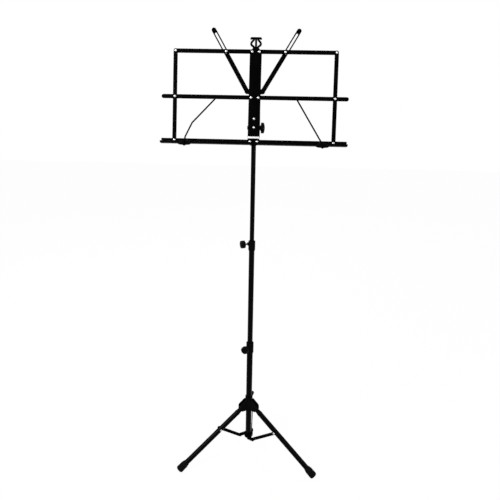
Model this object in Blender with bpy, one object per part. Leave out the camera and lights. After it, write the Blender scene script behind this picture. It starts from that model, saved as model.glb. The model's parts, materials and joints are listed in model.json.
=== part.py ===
"""A folding wire music stand: telescopic post, collapsible tripod and a folding desk.

Frame: metres, +Z up.  The origin is on the floor at the middle of the stand's
footprint, the player stands on the -Y side and +X is to the player's right.  The desk is modelled
in its own plane: u to the right, v up the plate, w toward the player.
"""
import math

import bmesh
import bpy
from mathutils import Matrix, Vector

MM = 0.001
GAP = 0.3 * MM                      # clearance between touching pieces

# post
LOWER_R, LOWER_WALL = 9.25 * MM, 0.95 * MM
MIDDLE_R, MIDDLE_WALL = 8.0 * MM, 1.2 * MM
UPPER_R, UPPER_WALL = 6.5 * MM, 1.2 * MM
LOWER_BOTTOM = 52 * MM
LOWER_TOP = 367 * MM
MIDDLE_BOTTOM, MIDDLE_TOP = 344 * MM, 700 * MM
UPPER_BOTTOM = 620 * MM
COLLAR_SEAT = 8 * MM                # how far a collar reaches down over its tube
LOWER_COLLAR_R, LOWER_COLLAR_H = 11.2 * MM, 36 * MM
MIDDLE_COLLAR_R, MIDDLE_COLLAR_H = 10.0 * MM, 29 * MM
PLUG_LEN = 10 * MM
LOWER_SCREW, MIDDLE_SCREW = 13 * MM, 12.5 * MM     # clamp screws above the tubes' tops

# tripod: two pivots on one radius and equal arms make the fold an isosceles linkage
PIVOT_RADIUS = 24 * MM
HUB_PIVOT_Z = 165.8 * MM
BRACKET_PIVOT_Z = 54 * MM
LEG_SLOPE = math.radians(36.12)     # below the horizontal, and the strut above it
LEG_R = 8.0 * MM
FOOT_R, FOOT_LEN, FOOT_ROUND = 11.5 * MM, 34 * MM, 6 * MM
STRUT_T, STRUT_W = 2.5 * MM, 10.0 * MM
LEG_AZIMUTHS = (210.0, 330.0, 90.0)
HUB_R, HUB_TOP, HUB_BOTTOM = 11.6 * MM, 204 * MM, 154 * MM
CHEEK_T, CHEEK_R, CHEEK_RISE = 4.0 * MM, 9.5 * MM, 28 * MM
TONGUE_T = 8.0 * MM
BRACKET_R, BRACKET_H = LEG_R + 4.8 * MM, 14 * MM
LUG_T = 3.0 * MM
PIN_R = 2.0 * MM
SINK = 0.3 * MM                     # how deep a fixed pin's head is set into its cheek

# clamp screws and knobs
SCREW_R = 2.2 * MM
KNOB_R, KNOB_T, KNOB_BOSS_T = 11.4 * MM, 15.0 * MM, 2.0 * MM
KNOB_REACH = 19.5 * MM              # post axis to the inner face of a knob
LOWER_KNOB_AZ, MIDDLE_KNOB_AZ, HUB_KNOB_AZ = 239.0, 203.0, 76.0
KNOB_LOBES = 8
HUB_KNOB_R, HUB_KNOB_REACH = 6.5 * MM, 24.5 * MM

# desk
TILT_AXIS_Z = 1036.5 * MM
TILT = math.radians(14.0)           # how far the desk leans back at rest
AXIS_DEPTH = 13.5 * MM              # tilt axis behind the back of the spine face
SHEET = 1.2 * MM
BAR_T, BAR_W = 1.5 * MM, 11.0 * MM
SPINE_W = 31.4 * MM
TOP_V, MIDDLE_V, LEDGE_V = 193.0 * MM, 75.5 * MM, -38.5 * MM
PIVOT_U = 9.5 * MM
SIDE_U = 210.0 * MM
MIDDLE_END, LEDGE_END = 246.0 * MM, 245.0 * MM
FACE_SCREWS_V = (21.0 * MM, -1.5 * MM)
SPINE_BOTTOM, SPINE_SHOULDER = -24.5 * MM, 197.0 * MM
PLATE_TOP, PLATE_BOTTOM = -29.8 * MM, -49.0 * MM
LYRE_TOP, LYRE_STRIP = 230.5 * MM, 2.4 * MM
LYRE_NECK = 7.8 * MM
LYRE_ARM = ((5.6, 206.0), (9.8, 208.4), (12.2, 211.4), (12.3, 214.4), (10.2, 218.6), (7.0, 222.2), (5.8, 227.0))
DEEP_FLANGE, SHALLOW_FLANGE = 23.0 * MM, 2.5 * MM
LEDGE_ABOVE, LEDGE_BELOW = 5.0 * MM, 9.5 * MM
SHELF_DEPTH, LIP_H, LEDGE_T = 22.0 * MM, 5.5 * MM, 1.2 * MM
ARM_V = 92.5 * MM
ARM_LEN, ARM_W, ARM_PIN_R = 187.0 * MM, 12.0 * MM, 68.0 * MM
ARM_TIP = 17.0 * MM                 # from the slot's last centre to the arm's end
ARM_SLOT_W, ARM_TRIM = 5.2 * MM, math.radians(0.64)
RIVET_R, RIVET_HEAD_R, RIVET_HEAD_H = 1.7 * MM, 3.8 * MM, 1.4 * MM
ARM_U = SPINE_W / 2 + RIVET_HEAD_R + 1.0 * MM     # arm pivots clear the spine's edges
TILT_KNOB_R, TILT_KNOB_T, TILT_BOSS_R, TILT_BOSS_T = 14.0 * MM, 10.5 * MM, 6.7 * MM, 2.5 * MM
BOLT_R = 2.5 * MM
BLOCK_R, BLOCK_STEM = 8.5 * MM, 30 * MM
CLIP_U = 180.0 * MM
CLIP_W, CLIP_H, CLIP_T = 32.0 * MM, 12.0 * MM, 4.0 * MM
WIRE_R = 1.8 * MM
WIRE_LEFT = ((3.4, 16.5), (20.8, 52.0), (79.4, 118.0))      # (inward, up) in mm from the clip's boss
WIRE_RIGHT = ((7.0, 12.0), (66.0, 107.0), (73.0, 122.0))

# layers of the desk, toward the player from the back of the spine face
BAR_W0 = SHEET + GAP
BAR_W1 = BAR_W0 + BAR_T
SIDE_W0 = BAR_W1 + GAP
SIDE_W1 = SIDE_W0 + BAR_T
ARM_W1 = -SHALLOW_FLANGE - GAP
ARM_W0 = ARM_W1 - BAR_T
YOKE_W1 = ARM_W0 - GAP
YOKE_W0 = YOKE_W1 - BAR_T

COLOURS = {
    "black_steel": ((0.012, 0.012, 0.013, 1), 0.35, 0.0),
    "black_plastic": ((0.015, 0.015, 0.016, 1), 0.5, 0.0),
    "black_rubber": ((0.02, 0.02, 0.021, 1), 0.8, 0.0),
    "nickel": ((0.75, 0.74, 0.72, 1), 0.25, 1.0),
    "zinc": ((0.7, 0.71, 0.72, 1), 0.4, 1.0),
}


def clear_scene():
    """Remove every object of the opened scene."""
    for obj in list(bpy.data.objects):
        bpy.data.objects.remove(obj, do_unlink=True)


def material(slot):
    """The Principled material of a slot, made once."""
    if slot in bpy.data.materials:
        return bpy.data.materials[slot]
    colour, rough, metal = COLOURS[slot]
    mat = bpy.data.materials.new(slot)
    mat.use_nodes = True
    shader = mat.node_tree.nodes["Principled BSDF"]
    shader.inputs["Base Color"].default_value = colour
    shader.inputs["Roughness"].default_value = rough
    shader.inputs["Metallic"].default_value = metal
    return mat


def finish(name, bm, slot, parent=None, location=(0, 0, 0), rotation=(0, 0, 0)):
    """Turn a bmesh into a named, smooth-shaded object."""
    bmesh.ops.recalc_face_normals(bm, faces=bm.faces)
    mesh = bpy.data.meshes.new(name)
    bm.to_mesh(mesh)
    bm.free()
    mesh.shade_smooth()
    mesh.set_sharp_from_angle(angle=math.radians(35))
    obj = bpy.data.objects.new(name, mesh)
    bpy.context.collection.objects.link(obj)
    obj.data.materials.append(material(slot))
    obj.parent = parent
    obj.location = location
    obj.rotation_euler = rotation
    return obj


def fuse(base, others, operation="UNION"):
    """Join or cut meshes held in bmeshes; returns the resulting bmesh."""
    temp = []
    for index, bm in enumerate([base] + others):
        bmesh.ops.recalc_face_normals(bm, faces=bm.faces)
        mesh = bpy.data.meshes.new("temp_%d" % index)
        bm.to_mesh(mesh)
        bm.free()
        obj = bpy.data.objects.new("temp_%d" % index, mesh)
        bpy.context.collection.objects.link(obj)
        temp.append(obj)
    for other in temp[1:]:
        mod = temp[0].modifiers.new("join", "BOOLEAN")
        mod.operation = operation
        mod.solver = "EXACT"
        mod.object = other
    bpy.context.view_layer.update()
    graph = bpy.context.evaluated_depsgraph_get()
    result = bmesh.new()
    result.from_mesh(temp[0].evaluated_get(graph).to_mesh())
    bmesh.ops.remove_doubles(result, verts=result.verts, dist=1e-6)
    for obj in temp:
        bpy.data.objects.remove(obj, do_unlink=True)
    return result


# ---------------------------------------------------------------- shapes

def turned(bm, profile, closed=False, seg=24, matrix=None, lobes=0, depth=0.0):
    """Turn (radius, height) points about Z; lobes scallop the widest rings."""
    widest = max(r for r, _ in profile)
    rings = []
    for r, z in profile:
        if r < 1e-9:
            rings.append([bm.verts.new((0, 0, z))])
            continue
        ring = []
        for i in range(seg):
            a = 2 * math.pi * i / seg
            cut = depth * (1 - math.cos(lobes * a)) / 2 if lobes and r > 0.6 * widest else 0
            ring.append(bm.verts.new(((r - cut) * math.cos(a), (r - cut) * math.sin(a), z)))
        rings.append(ring)
    pairs = list(zip(rings, rings[1:]))
    if closed:
        pairs.append((rings[-1], rings[0]))
    for one, two in pairs:
        for i in range(seg):
            j = (i + 1) % seg
            if len(one) == 1:
                bm.faces.new((one[0], two[j], two[i]))
            elif len(two) == 1:
                bm.faces.new((one[i], one[j], two[0]))
            else:
                bm.faces.new((one[i], one[j], two[j], two[i]))
    if matrix is not None:
        verts = [v for ring in rings for v in ring]
        bmesh.ops.transform(bm, matrix=matrix, verts=verts)
    return bm


def pipe(bm, outer, inner, z0, z1, seg=24, matrix=None):
    """A plain tube along Z."""
    return turned(bm, [(inner, z0), (outer, z0), (outer, z1), (inner, z1)], True, seg, matrix)


def rod(bm, radius, z0, z1, seg=16, matrix=None, chamfer=0.0):
    """A solid round bar along Z with chamfered ends."""
    c = chamfer
    points = [(0, z0), (radius - c, z0), (radius, z0 + c), (radius, z1 - c), (radius - c, z1), (0, z1)]
    if not c:
        points = [(0, z0), (radius, z0), (radius, z1), (0, z1)]
    return turned(bm, points, False, seg, matrix)


def slab(bm, outer, holes, y0, y1, matrix=None):
    """A flat plate: (x, z) outline with holes, from y0 to y1."""
    verts = []
    edges = []
    for loop in [outer] + holes:
        ring = [bm.verts.new((x, y0, z)) for x, z in loop]
        verts += ring
        edges += [bm.edges.new((ring[i], ring[(i + 1) % len(ring)])) for i in range(len(ring))]
    filled = bmesh.ops.triangle_fill(bm, use_beauty=True, edges=edges)
    faces = [g for g in filled["geom"] if isinstance(g, bmesh.types.BMFace)]
    grown = bmesh.ops.extrude_face_region(bm, geom=faces)
    top = [g for g in grown["geom"] if isinstance(g, bmesh.types.BMVert)]
    bmesh.ops.translate(bm, verts=top, vec=(0, y1 - y0, 0))
    if matrix is not None:
        bmesh.ops.transform(bm, matrix=matrix, verts=verts + top)
    return bm


def sweep(bm, path, radius, seg=10):
    """A round wire along a smooth row of points."""
    points = [Vector(p) for p in path]
    rings = []
    side = Vector((0, 1, 0))
    for i, p in enumerate(points):
        ahead = points[min(i + 1, len(points) - 1)] - points[max(i - 1, 0)]
        ahead.normalize()
        first = ahead.cross(side).normalized()
        second = ahead.cross(first).normalized()
        ring = []
        for k in range(seg):
            a = 2 * math.pi * k / seg
            ring.append(bm.verts.new(p + radius * (math.cos(a) * first + math.sin(a) * second)))
        rings.append(ring)
    for one, two in zip(rings, rings[1:]):
        for i in range(seg):
            j = (i + 1) % seg
            bm.faces.new((one[i], one[j], two[j], two[i]))
    bm.faces.new(rings[0])
    bm.faces.new(rings[-1])
    return bm


def circle(x, z, radius, seg=12):
    """A round hole's outline."""
    return [(x + radius * math.cos(2 * math.pi * i / seg), z + radius * math.sin(2 * math.pi * i / seg))
            for i in range(seg)]


def stadium(a, b, radius, seg=6):
    """The outline of a bar with round ends centred on a and b."""
    ax, az = a
    bx, bz = b
    heading = math.atan2(bz - az, bx - ax)
    points = []
    for i in range(seg + 1):
        t = heading - math.pi / 2 + math.pi * i / seg
        points.append((bx + radius * math.cos(t), bz + radius * math.sin(t)))
    for i in range(seg + 1):
        t = heading + math.pi / 2 + math.pi * i / seg
        points.append((ax + radius * math.cos(t), az + radius * math.sin(t)))
    return points


def rounded(path, radius, steps=4):
    """A row of points whose inner corners are rounded to a radius."""
    points = [Vector(p) for p in path]
    result = [points[0]]
    for before, corner, after in zip(points, points[1:], points[2:]):
        one = (before - corner).normalized()
        two = (after - corner).normalized()
        half = one.angle(two) / 2
        cut = radius / math.tan(half)
        start, end = corner + one * cut, corner + two * cut
        for i in range(steps + 1):
            t = i / steps
            result.append(start * (1 - t) ** 2 + corner * 2 * t * (1 - t) + end * t * t)
    result.append(points[-1])
    return result


TO_W = Matrix.Rotation(math.radians(90), 4, "X")      # +Z becomes toward the player
TO_X = Matrix.Rotation(math.radians(90), 4, "Y")      # +Z becomes +X
TO_Y = Matrix.Rotation(math.radians(-90), 4, "X")     # +Z becomes +Y


def outward(azimuth_deg, z=0.0):
    """Carry +Z onto the horizontal direction of an azimuth at a height."""
    return (Matrix.Translation((0, 0, z)) @ Matrix.Rotation(math.radians(azimuth_deg), 4, "Z") @ TO_X)


def plane_y(w):
    """The local y of a layer in the desk, from its distance toward the player."""
    return -(w + AXIS_DEPTH)


def desk_slab(bm, outer, holes, w0, w1):
    """A desk plate between two layers, in a frame whose y=0 is the spine's back."""
    return slab(bm, outer, holes, -w1, -w0)


def rivet(bm, u, v, w_back, w_front, seg=10):
    """A rivet through the layers from w_back to w_front, with two heads."""
    back, front = w_back - GAP, w_front + GAP
    head = RIVET_HEAD_R
    high = RIVET_HEAD_H
    profile = [(0, back - 0.8 * MM), (head * 0.8, back - 0.8 * MM), (head * 0.85, back), (RIVET_R, back),
               (RIVET_R, front), (head, front), (head * 0.88, front + high * 0.6),
               (head * 0.5, front + high * 0.95), (0, front + high)]
    return turned(bm, profile, False, seg, Matrix.Translation((u, 0, v)) @ TO_W)


def cross_pin(bm, start, end, matrix, seg=10):
    """A pin across two cheeks with a low head on each end."""
    head = PIN_R + 1.6 * MM
    rise = 1.2 * MM
    return turned(bm, [(0, start - rise), (head * 0.75, start - rise), (head, start), (PIN_R, start),
                       (PIN_R, end), (head, end), (head * 0.75, end + rise), (0, end + rise)],
                  False, seg, matrix)


# ---------------------------------------------------------------- post

def collar(name, outer_r, tube_r, inner_r, tube_top, height, azimuth, screw_z, parent):
    """A clamp collar seated on a tube's top, with a tapped boss for its screw."""
    bottom = tube_top - COLLAR_SEAT
    top = bottom + height
    soft = 1.0 * MM
    body = turned(bmesh.new(), [
        (tube_r + GAP, bottom), (outer_r - soft, bottom), (outer_r, bottom + soft),
        (outer_r, top - soft), (outer_r - soft, top), (inner_r + GAP, top),
        (inner_r + GAP, tube_top + GAP), (tube_r + GAP, tube_top + GAP)], True, 24)
    boss = rod(bmesh.new(), 5.0 * MM, inner_r + 1.2 * MM, outer_r + 3.0 * MM, 16, outward(azimuth, screw_z))
    bore = rod(bmesh.new(), SCREW_R + GAP, 0, outer_r + 6 * MM, 12, outward(azimuth, screw_z))
    bm = fuse(fuse(body, [boss]), [bore], "DIFFERENCE")
    return finish(name, bm, "black_plastic", parent)


def clamp_screw(name, tube_r, azimuth, z, parent, reach=KNOB_REACH):
    """The screw from the clamped tube's surface out into its knob."""
    start = Matrix.Translation((tube_r + GAP, 0, 0)) @ TO_X
    bm = rod(bmesh.new(), SCREW_R, 0, reach + KNOB_T * 0.6 - tube_r - GAP, 12, start, 0.4 * MM)
    return finish(name, bm, "black_steel", parent, (0, 0, z), (0, 0, math.radians(azimuth)))


def knob_body(bm, radius, thick, bore_r, bore_len, boss_r, boss_t, dome, lobes, start, turn, seg=24):
    """A scalloped knob with an outer face domed by a height and a blind bore, along +Z before turning."""
    z0 = start
    z1 = z0 + boss_t
    z2 = z1 + thick
    profile = [(0, z0 + bore_len), (bore_r, z0 + bore_len), (bore_r, z0), (boss_r, z0), (boss_r, z1),
               (radius * 0.95, z1), (radius, z1 + thick * 0.08), (radius, z2 - dome),
               (radius * 0.93, z2 - dome * 0.6), (radius * 0.65, z2 - dome * 0.15), (0, z2)]
    return turned(bm, profile, False, seg, turn, lobes, radius * 0.1)


def clamp_knob(name, azimuth, z, parent, radius=KNOB_R, reach=KNOB_REACH):
    """A clamp knob on its screw."""
    bm = knob_body(bmesh.new(), radius, KNOB_T - KNOB_BOSS_T, SCREW_R + GAP, KNOB_T * 0.6 + GAP,
                   5.0 * MM, KNOB_BOSS_T, 1.6 * MM, KNOB_LOBES, reach, TO_X)
    return finish(name, bm, "black_plastic", parent, (0, 0, z), (0, 0, math.radians(azimuth)))


def build_post(parent):
    """The three telescopic tubes, their collars, screws and knobs."""
    lower = finish("lower_tube", pipe(bmesh.new(), LOWER_R, LOWER_R - LOWER_WALL, LOWER_BOTTOM, LOWER_TOP, 24),
                   "black_steel", parent)
    plug_r = LOWER_R - LOWER_WALL - GAP
    plug = turned(bmesh.new(), [(0, LOWER_BOTTOM - 2.5 * MM), (LOWER_R - 1 * MM, LOWER_BOTTOM - 2.5 * MM),
                                (LOWER_R, LOWER_BOTTOM - 1.5 * MM), (LOWER_R, LOWER_BOTTOM - GAP),
                                (plug_r, LOWER_BOTTOM - GAP), (plug_r, LOWER_BOTTOM + PLUG_LEN),
                                (0, LOWER_BOTTOM + PLUG_LEN)], False, 24)
    finish("tube_plug", plug, "black_plastic", lower)
    screw_low = LOWER_TOP + LOWER_SCREW
    collar("lower_collar", LOWER_COLLAR_R, LOWER_R, MIDDLE_R, LOWER_TOP, LOWER_COLLAR_H,
           LOWER_KNOB_AZ, screw_low, lower)
    clamp_screw("lower_clamp_screw", MIDDLE_R, LOWER_KNOB_AZ, screw_low, lower)
    clamp_knob("lower_clamp_knob", LOWER_KNOB_AZ, screw_low, lower)
    middle = finish("middle_tube", pipe(bmesh.new(), MIDDLE_R, MIDDLE_R - MIDDLE_WALL,
                                        MIDDLE_BOTTOM, MIDDLE_TOP, 24), "black_steel", parent)
    screw_mid = MIDDLE_TOP + MIDDLE_SCREW
    collar("middle_collar", MIDDLE_COLLAR_R, MIDDLE_R, UPPER_R, MIDDLE_TOP, MIDDLE_COLLAR_H,
           MIDDLE_KNOB_AZ, screw_mid, middle)
    clamp_screw("middle_clamp_screw", UPPER_R, MIDDLE_KNOB_AZ, screw_mid, middle)
    clamp_knob("middle_clamp_knob", MIDDLE_KNOB_AZ, screw_mid, middle)
    upper_top = TILT_AXIS_Z - BLOCK_R - 2.5 * MM
    upper = finish("upper_rod", pipe(bmesh.new(), UPPER_R, UPPER_R - UPPER_WALL, UPPER_BOTTOM, upper_top, 24),
                   "black_steel", parent)
    half = SPINE_W / 2 - 2 * SHEET - 2 * GAP
    barrel = rod(bmesh.new(), BLOCK_R, -half, half, 24, TO_X, 0.6 * MM)
    stem = rod(bmesh.new(), BLOCK_R - 0.6 * MM, -BLOCK_STEM, 0, 22)
    socket = rod(bmesh.new(), UPPER_R + GAP, -BLOCK_STEM - 1 * MM, upper_top + GAP - TILT_AXIS_Z, 24)
    bore = rod(bmesh.new(), BOLT_R + GAP, -half - 2 * MM, half + 2 * MM, 16, TO_X)
    head = fuse(fuse(barrel, [stem]), [socket, bore], "DIFFERENCE")
    finish("tilt_block", head, "black_plastic", upper, (0, 0, TILT_AXIS_Z))
    return lower


# ---------------------------------------------------------------- tripod

def build_hub(parent):
    """The sliding hub: a sleeve with three pairs of cheeks and their cross pins, and its clamp knob."""
    at = math.radians(LEG_AZIMUTHS[0])
    origin = Vector((PIVOT_RADIUS * math.cos(at), PIVOT_RADIUS * math.sin(at), HUB_PIVOT_Z))
    place = Matrix.Translation(-origin)
    soft = 0.8 * MM
    sleeve = turned(bmesh.new(), [
        (LOWER_R + GAP, HUB_BOTTOM), (HUB_R + 2 * MM, HUB_BOTTOM), (HUB_R + 2 * MM, HUB_PIVOT_Z + 16 * MM),
        (HUB_R, HUB_PIVOT_Z + 24 * MM), (HUB_R, HUB_TOP - soft), (HUB_R - soft, HUB_TOP),
        (LOWER_R + GAP, HUB_TOP)], True, 24, place)
    cheeks = []
    inner = TONGUE_T / 2 + GAP
    for azimuth in LEG_AZIMUTHS:
        turn = place @ Matrix.Rotation(math.radians(azimuth), 4, "Z")
        root, tip = LOWER_R + 1 * MM, PIVOT_RADIUS + CHEEK_R
        outline = [(root, HUB_PIVOT_Z - CHEEK_R), (root, HUB_PIVOT_Z + CHEEK_RISE),
                   (HUB_R + 1 * MM, HUB_PIVOT_Z + CHEEK_RISE), (tip - 13 * MM, HUB_PIVOT_Z + CHEEK_RISE - 6 * MM),
                   (tip - 3 * MM, HUB_PIVOT_Z + 14 * MM), (tip - 0.6 * MM, HUB_PIVOT_Z + 11 * MM)]
        for i in range(7):
            t = math.radians(-15 * i)
            outline.append((PIVOT_RADIUS + CHEEK_R * math.cos(t), HUB_PIVOT_Z + CHEEK_R * math.sin(t)))
        for side in (-1, 1):
            span = sorted((side * inner, side * (inner + CHEEK_T)))
            cheeks.append(slab(bmesh.new(), outline, [], span[0], span[1], turn))
        across = turn @ Matrix.Translation((PIVOT_RADIUS, 0, HUB_PIVOT_Z)) @ TO_Y
        half = inner + CHEEK_T - SINK
        cheeks.append(cross_pin(bmesh.new(), -half, half, across))
    screw_z = HUB_TOP - 12.5 * MM
    core = rod(bmesh.new(), LOWER_R + GAP, HUB_BOTTOM - 2 * MM, HUB_TOP + 2 * MM, 24, place)
    boss = rod(bmesh.new(), 6.0 * MM, LOWER_R + 1.2 * MM, HUB_R + 5.0 * MM, 16,
               place @ outward(HUB_KNOB_AZ, screw_z))
    bore = rod(bmesh.new(), SCREW_R + GAP, 0, HUB_R + 8 * MM, 12, place @ outward(HUB_KNOB_AZ, screw_z))
    bm = fuse(fuse(sleeve, cheeks + [boss]), [core, bore], "DIFFERENCE")
    finish("tripod_hub", bm, "black_plastic", parent, origin)
    clamp_screw("hub_clamp_screw", LOWER_R, HUB_KNOB_AZ, screw_z, parent, HUB_KNOB_REACH)
    clamp_knob("hub_clamp_knob", HUB_KNOB_AZ, screw_z, parent, HUB_KNOB_R, HUB_KNOB_REACH)


def build_bracket(parent):
    """The ring at the tube's foot with one lug and pivot stud beside each leg."""
    low = LOWER_BOTTOM - 2 * MM
    high = low + BRACKET_H
    soft = 1 * MM
    ring = turned(bmesh.new(), [
        (LOWER_R + GAP, low), (BRACKET_R - soft, low), (BRACKET_R, low + soft),
        (BRACKET_R, high - soft), (BRACKET_R - soft, high), (LOWER_R + GAP, high)], True, 24)
    near = LEG_R + 0.6 * MM + STRUT_T + GAP
    lugs = []
    for azimuth in LEG_AZIMUTHS:
        turn = Matrix.Rotation(math.radians(azimuth), 4, "Z")
        radius = 6.0 * MM
        outline = [(2 * MM, BRACKET_PIVOT_Z - radius)]
        for i in range(7):
            t = -math.pi / 2 + math.pi * i / 6
            outline.append((PIVOT_RADIUS + radius * math.cos(t), BRACKET_PIVOT_Z + radius * math.sin(t)))
        outline.append((2 * MM, BRACKET_PIVOT_Z + radius))
        lugs.append(slab(bmesh.new(), outline, [], -near - LUG_T, -near, turn))
        across = turn @ Matrix.Translation((PIVOT_RADIUS, 0, BRACKET_PIVOT_Z)) @ TO_Y
        lugs.append(cross_pin(bmesh.new(), SINK - near - LUG_T, 2 * GAP + STRUT_T - near, across))
    core = rod(bmesh.new(), LOWER_R + GAP, low - 2 * MM, high + 2 * MM, 24)
    bm = fuse(fuse(ring, lugs), [core], "DIFFERENCE")
    finish("bottom_bracket", bm, "black_steel", parent)


def arm_length():
    """Pivot to rivet along a leg, equal to a strut's length between pivots."""
    return (HUB_PIVOT_Z - BRACKET_PIVOT_Z) / 2 / math.sin(LEG_SLOPE)


def foot_reach():
    """Pivot to the foot's tip, so that the foot's rounded rim touches the floor."""
    rim = FOOT_R - FOOT_ROUND
    return (HUB_PIVOT_Z - FOOT_ROUND - rim * math.cos(LEG_SLOPE)) / math.sin(LEG_SLOPE) + FOOT_ROUND


def build_leg(index, azimuth, parent):
    """One leg with its flattened tongue and strut rivet, its rubber foot and its strut."""
    at = math.radians(azimuth)
    away = Vector((math.cos(at), math.sin(at), 0))
    pivot = PIVOT_RADIUS * away + Vector((0, 0, HUB_PIVOT_Z))
    reach = foot_reach()
    reach_rivet = arm_length()
    tube_end = reach - 3.5 * MM
    tube_start = 15 * MM
    tube = rod(bmesh.new(), LEG_R, tube_start, tube_end, 16, TO_X, 0.5 * MM)
    tongue = slab(bmesh.new(), stadium((0, 0), (tube_start + 8 * MM, 0), LEG_R - 1 * MM, 6), [],
                  -TONGUE_T / 2, TONGUE_T / 2)
    eye = rod(bmesh.new(), PIN_R + GAP, -TONGUE_T, TONGUE_T, 14, TO_Y)
    side = LEG_R + 0.6 * MM
    across = Matrix.Translation((reach_rivet, 0, 0)) @ TO_Y
    pin = cross_pin(bmesh.new(), -side - STRUT_T - GAP, LEG_R - 0.5 * MM, across)
    bm = fuse(fuse(tube, [tongue, pin]), [eye], "DIFFERENCE")
    leg = finish("leg_%d" % index, bm, "black_steel", parent, pivot, (0, LEG_SLOPE, at))
    inner = LEG_R + GAP
    start = reach - FOOT_LEN
    arc = []
    for i in range(4):
        t = math.pi / 2 * i / 3
        arc.append((FOOT_R - FOOT_ROUND + FOOT_ROUND * math.cos(t), reach - FOOT_ROUND + FOOT_ROUND * math.sin(t)))
    foot = turned(bmesh.new(), [(0, tube_end + GAP), (inner, tube_end + GAP), (inner, start),
                                (FOOT_R - 1.5 * MM, start), (FOOT_R - 0.5 * MM, start + 1 * MM)]
                  + arc + [(0, reach)], False, 18, TO_X)
    finish("foot_%d" % index, foot, "black_rubber", leg)
    strut = slab(bmesh.new(), stadium((0, 0), (reach_rivet, 0), STRUT_W / 2, 7),
                 [circle(0, 0, PIN_R + GAP), circle(reach_rivet, 0, PIN_R + GAP)], -side - STRUT_T, -side)
    base = PIVOT_RADIUS * away + Vector((0, 0, BRACKET_PIVOT_Z))
    finish("strut_%d" % index, strut, "black_steel", parent, base, (0, -LEG_SLOPE, at))


# ---------------------------------------------------------------- desk

def lyre_pieces():
    """The lyre above the spine: two bowed arms, a bar with turned-down ends and a stem."""
    bar_v = LYRE_TOP - LYRE_STRIP
    end = 12.4 * MM
    pieces = [stadium((-end, bar_v), (end, bar_v), LYRE_STRIP, 5),
              stadium((0, LYRE_ARM[0][1] * MM - 2 * MM), (0, bar_v), LYRE_STRIP - 0.1 * MM, 4)]
    for side in (-1, 1):
        points = [(side * u * MM, v * MM) for u, v in LYRE_ARM]
        for one, two in zip(points, points[1:]):
            pieces.append(stadium(one, two, LYRE_STRIP, 5))
        pieces.append(stadium((side * end, bar_v), (side * end, bar_v - 2 * MM), LYRE_STRIP, 5))
    return pieces


def build_spine(parent):
    """The channel that everything on the desk hangs from, with the lyre on top."""
    half = SPINE_W / 2
    neck = LYRE_NECK
    up = SPINE_SHOULDER
    shoulder = []
    for i in range(6):
        t = math.pi / 2 * i / 5
        shoulder.append((half - (half - neck) * math.sin(t), up + 9 * MM * (1 - math.cos(t))))
    right = [(half, SPINE_BOTTOM), (half, up - 1 * MM)] + shoulder
    outer = right + [(-x, z) for x, z in reversed(right)]
    holes = [circle(side * PIVOT_U, v, RIVET_R + GAP) for side in (-1, 1) for v in (TOP_V, MIDDLE_V)]
    holes += [circle(0, v, RIVET_R + GAP) for v in (ARM_V,) + FACE_SCREWS_V]
    face = slab(bmesh.new(), outer, holes, plane_y(SHEET), plane_y(0))
    parts = []
    low_v = SPINE_BOTTOM
    for side in (-1, 1):
        span = sorted((side * (half - SHEET), side * half))
        deep = plane_y(-DEEP_FLANGE)
        slim = plane_y(-SHALLOW_FLANGE)
        front = plane_y(SHEET * 0.4)
        outline = [(front, low_v), (deep, low_v), (deep, 24 * MM), (slim, 46 * MM), (slim, up - 4 * MM),
                   (front, up - 4 * MM)]
        lift = Matrix.Rotation(math.radians(90), 4, "Z")
        flange = slab(bmesh.new(), outline, [circle(0, 0, BOLT_R + GAP, 14)],
                      -span[1], -span[0], lift)
        parts.append(flange)
    for outline in lyre_pieces():
        parts.append(slab(bmesh.new(), outline, [], plane_y(SHEET), plane_y(0)))
    bm = fuse(face, parts)
    return finish("spine", bm, "black_steel", parent, (0, 0, TILT_AXIS_Z), (-TILT, 0, 0))


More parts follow.
